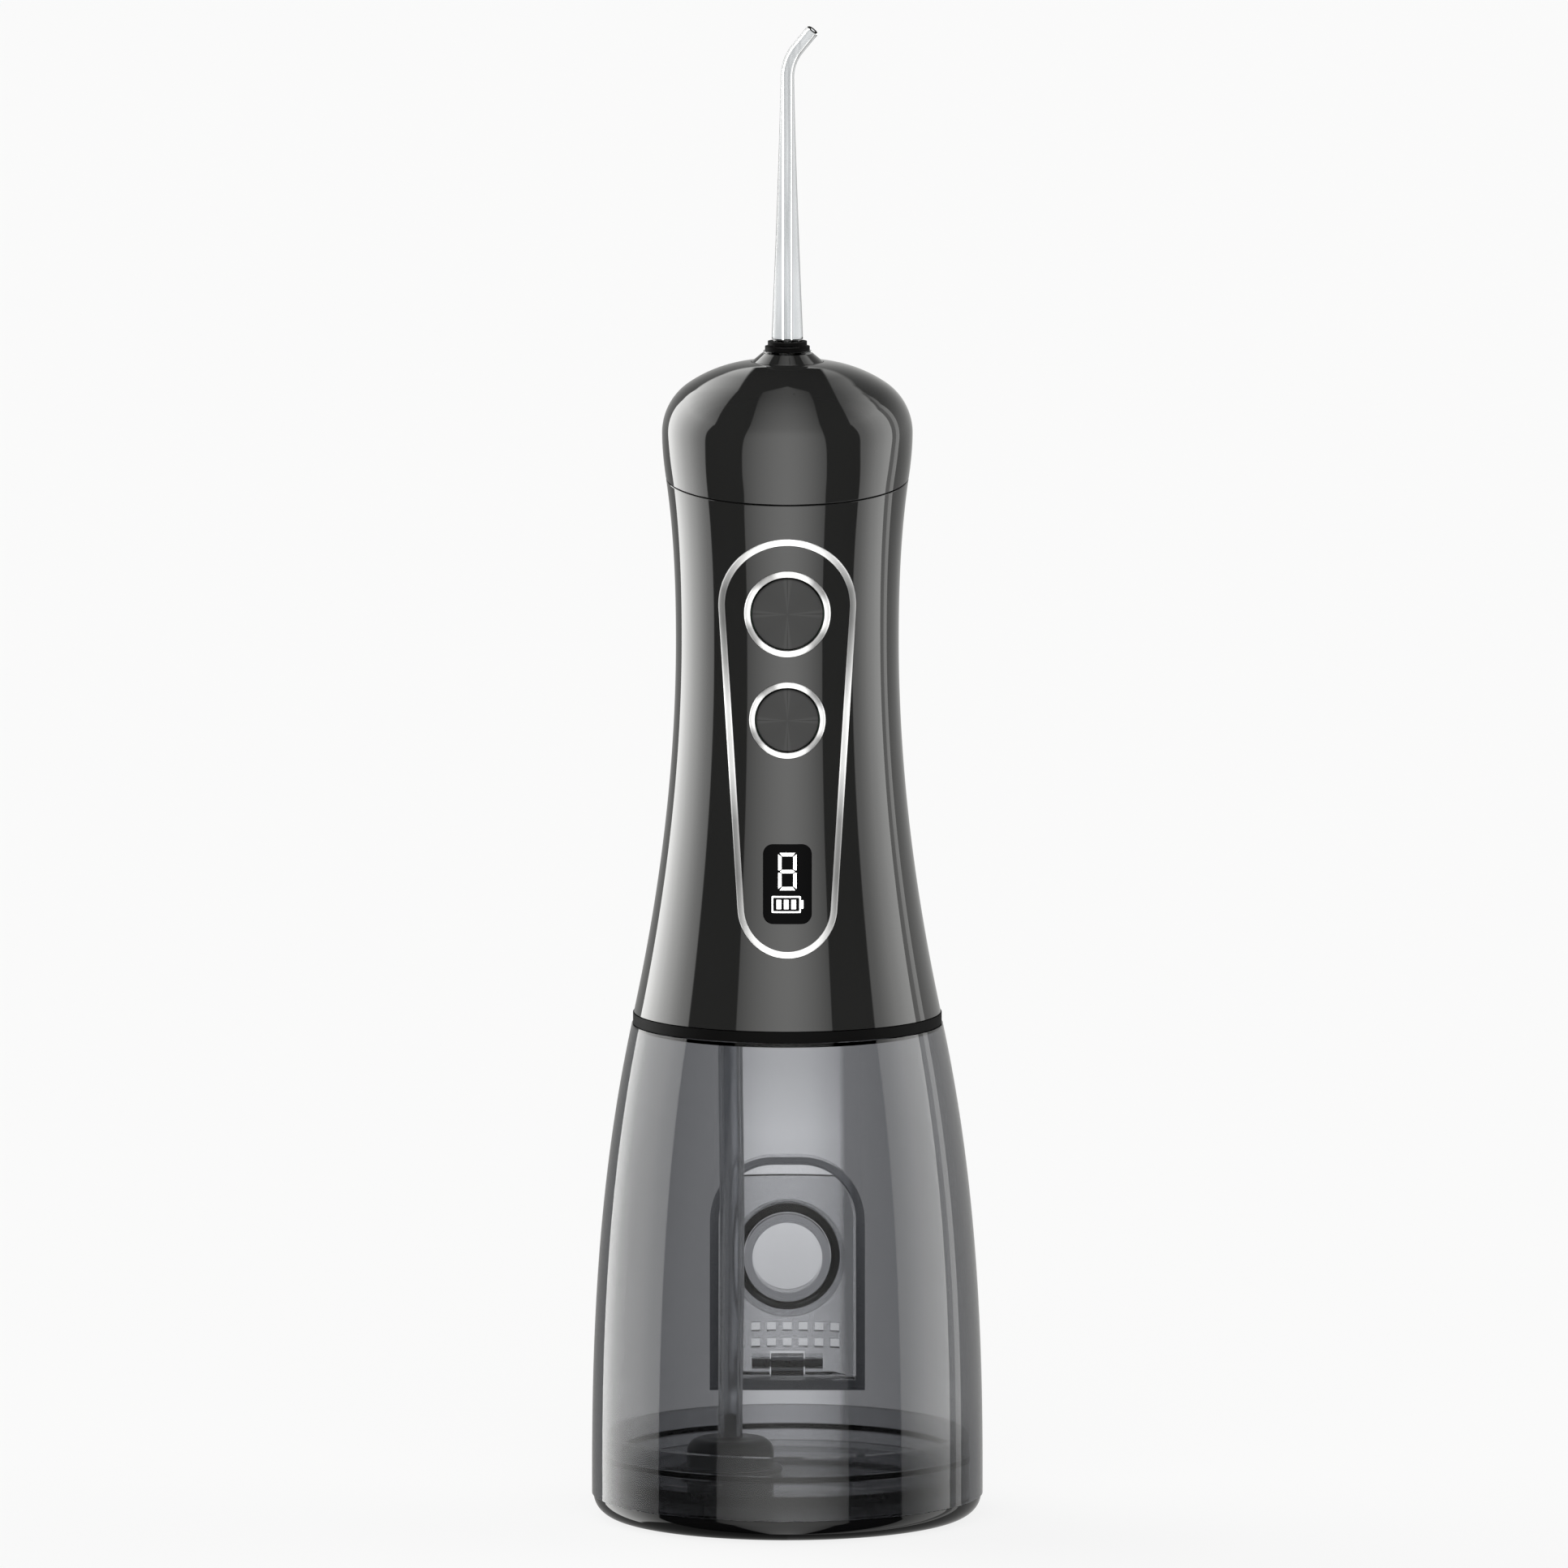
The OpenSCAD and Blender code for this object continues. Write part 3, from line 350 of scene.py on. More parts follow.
def inside(points, loops):
    """Which points are inside an odd number of the loops."""
    px, pz = points[:, 0], points[:, 1]
    odd = np.zeros(len(points), bool)
    for loop in loops:
        for (x0, z0), (x1, z1) in zip(loop, loop[1:] + loop[:1]):
            if z0 == z1:
                continue
            crosses = ((z0 > pz) != (z1 > pz)) & (px < x0 + (pz - z0) * (x1 - x0) / (z1 - z0))
            odd ^= crosses
    return odd


def slab_between(name, loops, outer_y, inner_y, spacing=1.5):
    """Solid between two surfaces y(x, z), cut out by outlines in x and z. The first is its rim, the rest are
    holes."""
    rim = np.array([p for loop in loops for p in loop])
    low, high = rim.min(0), rim.max(0)
    xs = np.arange(low[0] + spacing / 2, high[0], spacing)
    zs = np.arange(low[1] + spacing / 2, high[1], spacing)
    grid = np.array([(x, z) for z in zs for x in xs]).reshape(-1, 2)
    if len(grid):
        grid = grid[inside(grid, loops)]
    if len(grid):
        away = np.min(np.linalg.norm(grid[:, None] - rim[None], axis=2), axis=1)
        grid = grid[away > 0.4 * spacing]
    points = [Vector(p) for p in rim] + [Vector(p) for p in grid]
    edges, start = [], 0
    for loop in loops:
        n = len(loop)
        edges += [(start + k, start + (k + 1) % n) for k in range(n)]
        start += n
    verts2, _, tris, _, _, _ = delaunay_2d_cdt(points, edges, [], 0, 1e-6)
    flat = np.array([tuple(v) for v in verts2])
    tris = np.array(tris)
    tris = tris[inside(flat[tris].mean(axis=1), loops)]
    n = len(flat)
    outer = np.stack([flat[:, 0], outer_y(flat[:, 0], flat[:, 1]), flat[:, 1]], 1)
    inner = np.stack([flat[:, 0], inner_y(flat[:, 0], flat[:, 1]), flat[:, 1]], 1)
    faces = [tuple(t) for t in tris] + [tuple(n + i for i in t[::-1]) for t in tris]
    count = {}
    for t in tris.tolist():
        for a, b in ((t[0], t[1]), (t[1], t[2]), (t[2], t[0])):
            key = (min(a, b), max(a, b))
            count.setdefault(key, []).append((a, b))
    for uses in count.values():
        if len(uses) == 1:
            a, b = uses[0]
            faces.append((b, a, n + a, n + b))
    return new_piece(name, np.concatenate([outer, inner]), faces)


def front_slab(name, loops, high, low, spacing=0.8):
    return slab_between(name, loops, lambda x, z: front_y(x, z, high), lambda x, z: front_y(x, z, low),
                        spacing)


def rear_y(profile, x, z, inset):
    """Where a layer under a turned surface's rear lies."""
    return np.sqrt(np.maximum((profile(z) - inset) ** 2 - np.asarray(x, float) ** 2, 1.0))


def level(y):
    """A flat layer at y, for slab_between."""
    return lambda x, z: np.full(np.shape(x), float(y))


def front_band(name, track, section, sharp_deg=40):
    """Bar that follows an outline on the handle's front. section is a closed list of (inset, height)."""
    rows = []
    for inset, height in section:
        flat = track[:, :2] - inset * track[:, 2:]
        rows.append(np.stack([flat[:, 0], front_y(flat[:, 0], flat[:, 1], height), flat[:, 1]], 1))
    return new_piece(name, np.concatenate(rows), grid_faces(len(rows), len(track), True), sharp_deg)


def domed_section(width, low, edge, top, steps=8):
    """Section of a bar whose face is flat in its middle and rounded off at both edges: inset from 0 to width,
    height from edge up to top."""
    face = [(width * (1 - math.cos(math.pi * k / steps)) / 2,
             edge + (top - edge) * math.sin(math.pi * k / steps) ** 0.5) for k in range(steps + 1)]
    return [(0, low)] + face + [(width, low)]


# ---- Material tools ----

class Graph:
    """Short names for making shader nodes."""

    def __init__(self, tree):
        self.tree = tree
        tree.nodes.clear()

    def node(self, kind, inputs=None, **settings):
        node = self.tree.nodes.new("ShaderNode" + kind)
        for key, value in settings.items():
            setattr(node, key, value)
        for key, value in (inputs or {}).items():
            self.feed(node.inputs[key], value)
        return node

    def feed(self, socket, value):
        if isinstance(value, bpy.types.NodeSocket):
            self.tree.links.new(value, socket)
        else:
            socket.default_value = value

    def math(self, operation, *values):
        node = self.tree.nodes.new("ShaderNodeMath")
        node.operation = operation
        for socket, value in zip(node.inputs, values):
            self.feed(socket, value)
        return node.outputs[0]

    def step(self, value, edge, soft):
        """0 below the edge and 1 above it, with a soft change of that width."""
        off = self.math("SUBTRACT", value, edge)
        return self.clamp(self.math("MULTIPLY_ADD", off, 1 / soft, 0.5))

    def clamp(self, value):
        return self.node("Clamp", {"Value": value}).outputs[0]

    def grey(self, value):
        return self.node("CombineColor", {"Red": value, "Green": value, "Blue": value}).outputs[0]

    def place(self):
        """Where a point lies on the object, as x, y and z in metres."""
        return self.node("SeparateXYZ", {"Vector": self.node("TexCoord").outputs["Object"]}).outputs

    def angle(self, a, b):
        """The angle in degrees whose tangent is a over b."""
        return self.math("MULTIPLY", self.math("ARCTAN2", a, b), DEGREES)

    def curve(self, value, points, smooth=False):
        """A value that follows points of (input, output)."""
        lows, highs = [p[0] for p in points], [p[1] for p in points]
        span, base, size = lows[-1] - lows[0], min(highs), max(max(highs) - min(highs), 1e-6)
        t = self.math("DIVIDE", self.math("SUBTRACT", value, lows[0]), span)
        ramp = self.node("ValToRGB", {"Fac": t})
        elements = ramp.color_ramp.elements
        ramp.color_ramp.interpolation = "B_SPLINE" if smooth else "LINEAR"
        while len(elements) < len(points):
            elements.new(0.5)
        for element, (x, y) in zip(elements, points):
            element.position = (x - lows[0]) / span
            element.color = [(y - base) / size] * 3 + [1]
        level = self.node("SeparateColor", {"Color": ramp.outputs["Color"]}).outputs[0]
        return self.math("MULTIPLY_ADD", level, size, base)

    def mix(self, factor, a, b):
        node = self.node("Mix", data_type="RGBA")
        self.feed(node.inputs[0], factor)
        self.feed(node.inputs[6], a)
        self.feed(node.inputs[7], b)
        return node.outputs[2]

    def blend(self, factor, a, b):
        node = self.node("Mix", data_type="FLOAT")
        self.feed(node.inputs[0], factor)
        self.feed(node.inputs[2], a)
        self.feed(node.inputs[3], b)
        return node.outputs[0]


def rgba(colour, gain=1.0):
    return [min(c * gain, 1.0) for c in colour] + [1]


def material(name, colour, rough, grain=900.0, vary=0.08, bump=0.0, bump_grain=None, absorb=None,
             **principled):
    """A moulded or machined surface: its tone and roughness drift with a fine noise, and bump adds grain.

    rough is the lowest and highest roughness. absorb is (colour, density) of what a clear material takes out
    of the light that crosses it."""
    mat = bpy.data.materials.new(name)
    mat.use_nodes = True
    g = Graph(mat.node_tree)
    place = g.node("TexCoord").outputs["Object"]
    noise = g.node("TexNoise", {"Vector": place, "Scale": grain, "Detail": 3.0, "Roughness": 0.6})
    broad = g.node("TexNoise", {"Vector": place, "Scale": 35.0, "Detail": 2.0})
    tone = g.mix(broad.outputs["Fac"], rgba(colour, 1 - vary), rgba(colour, 1 + vary))
    shader = g.node("BsdfPrincipled", {
        "Base Color": tone,
        "Roughness": g.blend(noise.outputs["Fac"], rough[0], rough[1]),
    })
    for key, value in principled.items():
        g.feed(shader.inputs[key.replace("_", " ")], value)
    if bump:
        fine = g.node("TexNoise", {"Vector": place, "Scale": bump_grain or grain, "Detail": 2.0})
        relief = g.node("Bump", {"Strength": bump, "Distance": 0.0001, "Height": fine.outputs["Fac"]})
        g.feed(shader.inputs["Normal"], relief.outputs["Normal"])
    output = g.node("OutputMaterial", {"Surface": shader.outputs[0]})
    if absorb:
        volume = g.node("VolumeAbsorption", {"Color": rgba(absorb[0]), "Density": absorb[1]})
        g.feed(output.inputs["Volume"], volume.outputs[0])
    return mat, g, shader


def chrome(name, conic=None, heights=None):
    """Bright plating whose reflections are painted into its colour. conic is (z, angles) for a ring whose
    painted sheen turns about its centre, and heights is for a long bar whose painted sheen changes with
    height."""
    mat, g, shader = material(name, (0.5, 0.5, 0.5), (0.3, 0.36), vary=0.02, Metallic=0.3)
    place = g.place()
    # Painted reflection: the base colour goes light and dark by angle round the ring, or by height along the
    # bar
    if conic:
        tone = g.curve(g.angle(place["X"], g.math("SUBTRACT", place["Z"], conic[0] * MM)), conic[1])
    else:
        tone = g.curve(g.math("DIVIDE", place["Z"], MM), heights)
    g.feed(shader.inputs["Base Color"], g.grey(tone))
    return mat


def cap_painted_sheen(name, z):
    """Satin cap with a faint cross of painted sheen on its turned face: its colour is darker along four arms
    and lighter beside them.
    """
    mat, g, shader = material(name, (0.04, 0.04, 0.04), (0.42, 0.5), bump=0.1, bump_grain=6000,
                              Specular_IOR_Level=0.14)
    place = g.place()
    angle = g.angle(place["X"], g.math("SUBTRACT", place["Z"], z * MM))
    from_arm = g.math("ABSOLUTE", g.math("WRAP", angle, 45.0, -45.0))
    # Painted sheen: darker right on each arm, lighter just beside it
    tone = g.curve(from_arm, [(0, 0.024), (1.5, 0.05), (4, 0.052), (9, 0.04), (45, 0.038)])
    g.feed(shader.inputs["Base Color"], g.grey(tone))
    return mat


def clear_tip():
    """Clear tip: fine streaks along it, and painted shade in its colour that darkens its edges, where its
    wall is seen along its thickness.
    """
    mat, g, shader = material("clear_tip", (1, 1, 1), (0.0, 0.02), vary=0.0, IOR=1.4, Transmission_Weight=1.0,
                              Specular_Tint=(0.35, 0.35, 0.35, 1), absorb=((0.0, 0.12, 0.2), 30))
    stretch = g.node("Mapping", {"Vector": g.node("TexCoord").outputs["Object"], "Scale": (1, 1, 0.02)})
    streak = g.node("TexNoise", {"Vector": stretch.outputs["Vector"], "Scale": 900.0, "Detail": 1.0})
    # Painted shade: the colour darkens towards the edges, where the tip is seen edge-on
    edge = g.node("LayerWeight", {"Blend": 0.5}).outputs["Facing"]
    tone = g.math("SUBTRACT", g.curve(edge, [(0, 0.84), (0.45, 0.8), (0.75, 0.62), (1, 0.3)]),
                  g.math("MULTIPLY", g.step(streak.outputs["Fac"], 0.58, 0.1), 0.2))
    g.feed(shader.inputs["Base Color"], g.node("CombineColor", {
        "Red": tone, "Green": g.math("ADD", tone, 0.01), "Blue": g.math("ADD", tone, 0.015)}).outputs[0])
    return mat


def smoky_clear():
    """The tank's smoky wall, with painted reflection: how much it mirrors is set by angle round it, and it
    mirrors less near the base.
    """
    mat, g, shader = material("smoky_clear", (1, 1, 1), (0.0, 0.008), vary=0.0, IOR=1.36,
                              Transmission_Weight=1.0, absorb=((0.0, 0.012, 0.042), 405))
    place = g.place()
    turn = g.angle(place["X"], g.math("MULTIPLY", place["Y"], -1.0))
    # Painted reflection: the reflection's tint is stronger and weaker by angle round the tank, and weaker
    # near its base
    around = g.curve(turn, [
        (-180, 1.0), (-95, 1.0), (-75, 0.25), (-62, 0.25), (-48, 1.5), (-40, 1.8), (-26, 0.9), (-16, 0.5),
        (16, 0.5), (26, 0.9), (40, 1.85), (54, 1.85), (64, 2.9), (74, 2.9), (84, 1.15), (180, 1.0)])
    around_low = g.curve(turn, [
        (-180, 0.4), (-95, 0.4), (-75, 0.1), (-64, 0.1), (-50, 0.3), (-32, 0.6), (-22, 1.1), (22, 1.1),
        (32, 0.6), (50, 0.5), (64, 0.9), (95, 0.4), (180, 0.4)])
    is_high = g.curve(g.math("DIVIDE", place["Z"], MM), [(0, 0), (13, 0.1), (22, 1), (100, 1)])
    g.feed(shader.inputs["Specular Tint"], g.grey(g.blend(is_high, around_low, around)))
    return mat


# Painted reflections of the plating, as light and dark in its colour: by angle round a ring, and by height in
# millimetres along the trim
PAINTED_SHEEN_CONE = [(-180, 0.9)] + [(middle + turn, tone) for middle in (-121, -32, 51, 131)
                             for turn, tone in ((-25, 0.87), (-9, 0.32), (9, 0.32), (25, 0.87))]
PAINTED_SHEEN_CONE += [(180, 0.9)]
PAINTED_SHEEN_BAR = [(103, 0.9), (106, 0.85), (110, 0.4), (118, 0.22), (128, 0.3), (137, 0.8), (148, 0.9), (156, 0.4),
             (163, 0.2), (169, 0.2), (173, 0.5), (176, 0.87)]

MATERIALS = {
    "gloss_black": material("gloss_black", (0.0177, 0.0178, 0.0175), (0.03, 0.045), vary=0.1)[0],
    "satin_black": material("satin_black", (0.003, 0.003, 0.003), (0.5, 0.6), bump=0.15, bump_grain=5000,
                            Specular_IOR_Level=0.03)[0],
    "base_black": material("base_black", (0.004, 0.004, 0.0042), (0.03, 0.05), vary=0.1,
                           Specular_IOR_Level=0.22)[0],
    "dark_plastic": material("dark_plastic", (0.035, 0.036, 0.038), (0.3, 0.42), bump=0.2,
                             bump_grain=4000)[0],
    "smoky_clear": smoky_clear(),
    "dark_clear": material("dark_clear", (0.9, 0.9, 0.92), (0.01, 0.04), vary=0.02, IOR=1.49,
                           Transmission_Weight=1.0, absorb=((0.0, 0.01, 0.01), 220))[0],
    "clear_plastic": material("clear_plastic", (1, 1, 1), (0.0, 0.01), vary=0.0, IOR=1.49,
                              Transmission_Weight=1.0, absorb=((0.0, 0.12, 0.2), 60))[0],
    "milky_tube": material("milky_tube", (0.82, 0.83, 0.85), (0.08, 0.16), vary=0.03, IOR=1.42,
                           Transmission_Weight=0.85, absorb=((0.0, 0.02, 0.03), 90))[0],
    "black_rubber": material("black_rubber", (0.004, 0.004, 0.004), (0.45, 0.6), bump=0.2, bump_grain=3000,
                             Specular_IOR_Level=0.1)[0],
    "chrome_trim": chrome("chrome_trim", heights=PAINTED_SHEEN_BAR),
    "steel": material("steel", (0.55, 0.55, 0.57), (0.2, 0.38), bump=0.1, bump_grain=2500, Metallic=1.0)[0],
    "display_glass": material("display_glass", (0.002, 0.002, 0.0022), (0.2, 0.25),
                              Specular_IOR_Level=0.02)[0],
    "display_white": material("display_white", (0.9, 0.9, 0.9), (0.4, 0.5), vary=0.03,
                              Emission_Color=(1, 1, 1, 1), Emission_Strength=0.85)[0],
    "pcb_green": material("pcb_green", (0.01, 0.1, 0.04), (0.25, 0.4), bump=0.3, bump_grain=1500)[0],
    "cell_wrap": material("cell_wrap", (0.03, 0.1, 0.3), (0.25, 0.35), bump=0.1)[0],
    "white_pom": material("white_pom", (0.75, 0.75, 0.72), (0.3, 0.4), bump=0.08)[0],
    "brass": material("brass", (0.75, 0.52, 0.22), (0.2, 0.32), bump=0.1, Metallic=1.0)[0],
}
DOOR_CLEAR = material("door_clear", (1, 1, 1), (0.0, 0.01), vary=0.0, IOR=1.4, Transmission_Weight=1.0,
                      absorb=((0.0, 0.012, 0.042), 200))[0]
POWER_CHROME = chrome("power_chrome", conic=(POWER_Z, PAINTED_SHEEN_CONE))
MODE_CHROME = chrome("mode_chrome", conic=(MODE_Z, PAINTED_SHEEN_CONE))

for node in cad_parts.values():
    for holder in node.material_slots:
        holder.material = MATERIALS[holder.material.name]
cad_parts["refill_door"].material_slots[0].material = DOOR_CLEAR


def finish_piece(obj, body, slot, nodes, mat=None):
    """Puts a made piece in its place: its material, its body, and the CAD nodes it stands for."""
    obj.data.materials.clear()
    obj.data.materials.append(mat or MATERIALS[slot])
    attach(obj, body)
    if nodes:
        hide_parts(*nodes)


# ---- Pickup hose: a free hose that hangs from the handle's base into the tank ----

HOSE_ROUTE = np.array([
    (-10.2, -1, 96.2), (-10.2, -1, 91), (-10.2, -1, 86), (-10.15, -1, 81), (-10.1, -1, 75),
    (-10, -1.05, 69), (-9.95, -1.1, 63), (-9.9, -1.15, 57), (-9.9, -1.2, 51), (-9.9, -1.2, 45),
    (-9.95, -1.15, 39), (-10, -1.1, 33), (-10.1, -1.05, 28), (-10.15, -1, 23.5), (-10.2, -1, 19),
    (-10.2, -1, 14.2)])


def smooth_path(route, per_span=4):
    """Points on a smooth curve through the route."""
    ends = np.concatenate([route[:1] * 2 - route[1:2], route, route[-1:] * 2 - route[-2:-1]])
    out = []
    for i in range(1, len(ends) - 2):
        a, b, c, d = ends[i - 1:i + 3]
        for k in range(per_span):
            t = k / per_span
            out.append(0.5 * (2 * b + (c - a) * t + (2 * a - 5 * b + 4 * c - d) * t**2
                              + (3 * b - a - 3 * c + d) * t**3))
    return np.array(out + [route[-1]])


def tube(name, path, outer, inner, sides=48, across=(0, 1, 0), sharp_deg=30):
    """Hollow tube along a path. outer and inner are radii, one for each point of the path."""
    tangent = np.gradient(path, axis=0)
    tangent /= np.linalg.norm(tangent, axis=1)[:, None]
    u = np.cross(np.broadcast_to(across, path.shape), tangent)
    u /= np.linalg.norm(u, axis=1)[:, None]
    v = np.cross(tangent, u)
    a = 2 * math.pi * np.arange(sides) / sides
    turn = np.cos(a)[None, :, None] * u[:, None, :] + np.sin(a)[None, :, None] * v[:, None, :]
    outside = path[:, None, :] + np.broadcast_to(outer, len(path))[:, None, None] * turn
    within = path[:, None, :] + np.broadcast_to(inner, len(path))[:, None, None] * turn
    rows = np.concatenate([outside, within[::-1]])
    return new_piece(name, rows.reshape(-1, 3), grid_faces(len(rows), sides, True), sharp_deg)


hose_path = smooth_path(HOSE_ROUTE)
hose = tube("pickup_hose_tube", hose_path, HOSE_R, HOSE_BORE_R)
finish_piece(hose, "handle", "milky_tube", ["pickup_hose"])

# The sinker, with the rounded shoulders that its CAD solid leaves out
hose_x, hose_y = HOSE_ROUTE[-1][:2]
SINKER_CORNER_R = 2.4


def rounded_corner(r, z, corner_r, steps=8):
    """Rows that round an outer corner from the wall at radius r to the top at height z."""
    return [(r - corner_r + corner_r * math.cos(a), z - corner_r + corner_r * math.sin(a))
            for a in np.linspace(0, math.pi / 2, steps + 1)]


SINKER_TOP_Z = 14.2
sinker_flange = [(6.45, 8.2), (9.0, 8.2), (9.3, 8.5), (9.3, 8.9), (9.0, 9.2), (SINKER_R + 0.3, 9.2),
                 (SINKER_R, 9.5)]
sinker_barb = [(1.6, SINKER_TOP_Z), (1.05, 14.5), (1.05, 18.3), (0.85, 18.5), (0.6, 18.5)]
sinker_inside = [(0.6, 12.9), (6.45, 12.9)]
sinker = lathe("sinker_shell", sinker_flange + rounded_corner(SINKER_R, SINKER_TOP_Z, SINKER_CORNER_R)
               + sinker_barb + sinker_inside, sides=96, centre=(hose_x, hose_y))
finish_piece(sinker, "handle", "dark_plastic", ["sinker_body"])

# ---- Tank ----

SIDES = 240
PAST = 1.0  # how far a cutter reaches past the surface that it cuts
AXIS_R = 0.01  # a turned solid's innermost radius, where it has no bore


def pocket_outline(grow):
    half_w, corner_r = POCKET_HALF_W + grow, POCKET_CORNER_R + grow
    low_z, corner_z = POCKET_LOW_Z - grow, POCKET_TOP_Z - POCKET_CORNER_R
    corner_x = half_w - corner_r
    points = [(-half_w, low_z), (half_w, low_z)]
    for side, start in ((1, 0), (-1, 90)):
        for k in range(17):
            a = math.radians(start + 90 * k / 16)
            points.append((side * corner_x + corner_r * math.cos(a), corner_z + corner_r * math.sin(a)))
    return subdivided(points, 1.5)


neck = [(NECK_R, TANK_TOP_Z), (NECK_R, GROOVE_Z[0]), (GROOVE_R, GROOVE_Z[0]), (GROOVE_R, GROOVE_Z[1]),
        (NECK_R, GROOVE_Z[1]), (NECK_R, NECK_TOP_Z), (NECK_BORE_R, NECK_TOP_Z),
        (NECK_BORE_R, TANK_TOP_Z - TANK_TOP_T)]
tank = lathe("tank_body", wall_rows(tank_r, 0, TANK_LOW_Z, TANK_TOP_Z, 2.0) + neck
             + wall_rows(tank_r, TANK_WALL, TANK_TOP_Z - TANK_TOP_T, TANK_LOW_Z, 2.0), sides=SIDES)
pocket_block = slab_between("cutter", [pocket_outline(POCKET_WALL)], lambda x, z: rear_y(tank_r, x, z, 1.0),
                            level(POCKET_FLOOR_Y - POCKET_FLOOR_T))
boolean(tank, pocket_block, "UNION")
boolean(tank, bar_y(FILL_R + FILL_RIM_W, 0, FILL_Z, POCKET_FLOOR_Y - POCKET_FLOOR_T - FILL_RIM_H,
                    POCKET_FLOOR_Y - PAST), "UNION")
pocket_space = slab_between("cutter", [pocket_outline(0)], level(45), level(POCKET_FLOOR_Y))
ear = box_piece((-EAR_HALF_W, POCKET_FLOOR_Y - PAST, DOOR_HINGE[2] - EAR_R),
                (EAR_HALF_W, DOOR_HINGE[1], DOOR_HINGE[2] + EAR_R))
boolean(ear, bar_x(EAR_R, DOOR_HINGE, EAR_HALF_W), "UNION")
boolean(pocket_space, ear)
boolean(tank, pocket_space)
boolean(tank, bar_y(FILL_R, 0, FILL_Z, 20, POCKET_FLOOR_Y + PAST))
boolean(tank, bar_x(PIN_BORE_R, DOOR_HINGE, PIN_BORE_HALF_W))
polish(tank, [(tank_r, 0), (tank_r, TANK_WALL)])
finish_piece(tank, "tank", "smoky_clear", ["tank_shell"])

flat_r = BASE_R - BASE_CORNER_W
base = lathe("base_shell", [(AXIS_R, BASE_Z[0]), (flat_r, BASE_Z[0])]
             + [(flat_r + BASE_CORNER_W * math.cos(a), BASE_Z[1] + BASE_CORNER_H * math.sin(a))
                for a in np.linspace(-math.pi / 2, 0, 17)[1:]] + [(AXIS_R, BASE_Z[1])], sides=SIDES)
foot_in_r, foot_out_r = FOOT_GROOVE_R
boolean(base, lathe("cutter", [(foot_in_r, -1), (foot_out_r, -1), (foot_out_r, FOOT_GROOVE_TOP_Z),
                               (foot_in_r, FOOT_GROOVE_TOP_Z)], sides=120))
SCREW_HOLE = [(AXIS_R, -1), (2.5, -1), (2.5, 2.1), (1.3, 2.1), (1.3, 6), (AXIS_R, 6)]
for k in range(4):
    a = math.radians(45 + 90 * k)
    spot = (SCREW_CIRCLE_R * math.cos(a), SCREW_CIRCLE_R * math.sin(a))
    boolean(base, lathe("cutter", SCREW_HOLE, sides=40, centre=spot))
finish_piece(base, "tank", "gloss_black", ["base_ring"], MATERIALS["base_black"])

# ---- Handle housing ----

angles = 2 * math.pi * np.arange(SIDES) / SIDES


def at_seam(radius_of, offset):
    """Radius and height, over the sides, where a wall meets the tilted seam moved up by an offset."""
    z = np.full(SIDES, SEAM_Z)
    for _ in range(8):
        z = SEAM_Z + offset + SEAM_SLOPE * radius_of(z) * np.sin(angles)
    return radius_of(z), z


def rows_to_seam(inset, z0, offset, step=1.5):
    """Rows of the handle's wall from a height up to the seam."""
    top = at_seam(lambda z: handle_r(z) - inset, offset)[1]
    count = math.ceil((SEAM_Z - z0) / step)
    heights = [z0 + (top - z0) * k / count for k in range(count + 1)]
    return [(handle_r(z) - inset, z) for z in heights]


def seam_edge(offset, way):
    """Rows of the rounded edge at the seam, from the wall's surface inwards. way is 1 below it, -1 above."""
    z = at_seam(handle_r, offset)[1]
    rows = []
    for a in np.linspace(0, math.pi / 2, 5):
        inset = SEAM_EDGE_R * (1 - math.cos(a))
        z_here = z - way * SEAM_EDGE_R * (1 - math.sin(a))
        rows.append((handle_r(z_here) - inset, z_here))
    return rows


def flat_on_seam(radius, offset):
    return at_seam(lambda z: np.full(SIDES, radius), offset)


outside = rows_to_seam(0, HANDLE_LOW_Z, -SEAM_GAP / 2 - SEAM_EDGE_R)[:-1] + seam_edge(-SEAM_GAP / 2, 1)
lip = [flat_on_seam(LIP_R[1], -SEAM_GAP / 2), flat_on_seam(LIP_R[1], LIP_RISE),
       flat_on_seam(LIP_R[0], LIP_RISE), (LIP_R[0], LIP_Z)]
shell = lathe("handle_body", outside + lip + wall_rows(handle_r, HANDLE_WALL, LIP_Z, HANDLE_LOW_Z, 3.0),
              sides=SIDES)
boolean(shell, front_slab("cutter", [pill(-TRIM_GAP)], 1.0, -PANEL_DEPTH, 1.2))
boolean(shell, bar_y(POWER_R + BUTTON_GAP, 0, POWER_Z, -30, -10))
boolean(shell, bar_y(MODE_R + BUTTON_GAP, 0, MODE_Z, -30, -10))
boolean(shell, box_piece((-WINDOW_SLOT[0], -40, WINDOW_Z - WINDOW_SLOT[1]),
                         (WINDOW_SLOT[0], -10, WINDOW_Z + WINDOW_SLOT[1])))


port_half_h = (PORT_Z[1] - PORT_Z[0]) / 2
port_hole = rounded_rect(PORT_HALF_W + PORT_GAP, port_half_h + PORT_GAP, 0.4, sum(PORT_Z) / 2, 3)
boolean(shell, slab_between("cutter", [port_hole], lambda x, z: rear_y(handle_r, x, z, -PAST),
                            lambda x, z: rear_y(handle_r, x, z, PORT_DEPTH)))
boolean(shell, bar_x(PORT_HINGE_R, PORT_HINGE, PORT_HALF_W + PORT_GAP))
boolean(shell, box_piece((-SOCKET_HALF_W, 15, SOCKET_Z[0]), (SOCKET_HALF_W, 30, SOCKET_Z[1])))
HOUSING_TILT = eased_tilt([(float(handle_r(z)), z) for z in np.arange(HANDLE_LOW_Z, WIDEST_Z, 0.25)]
                          + dome_rows(0))
polish(shell, [(handle_r, 0)], tilt=HOUSING_TILT)
finish_piece(shell, "handle", "gloss_black", ["handle_shell"])

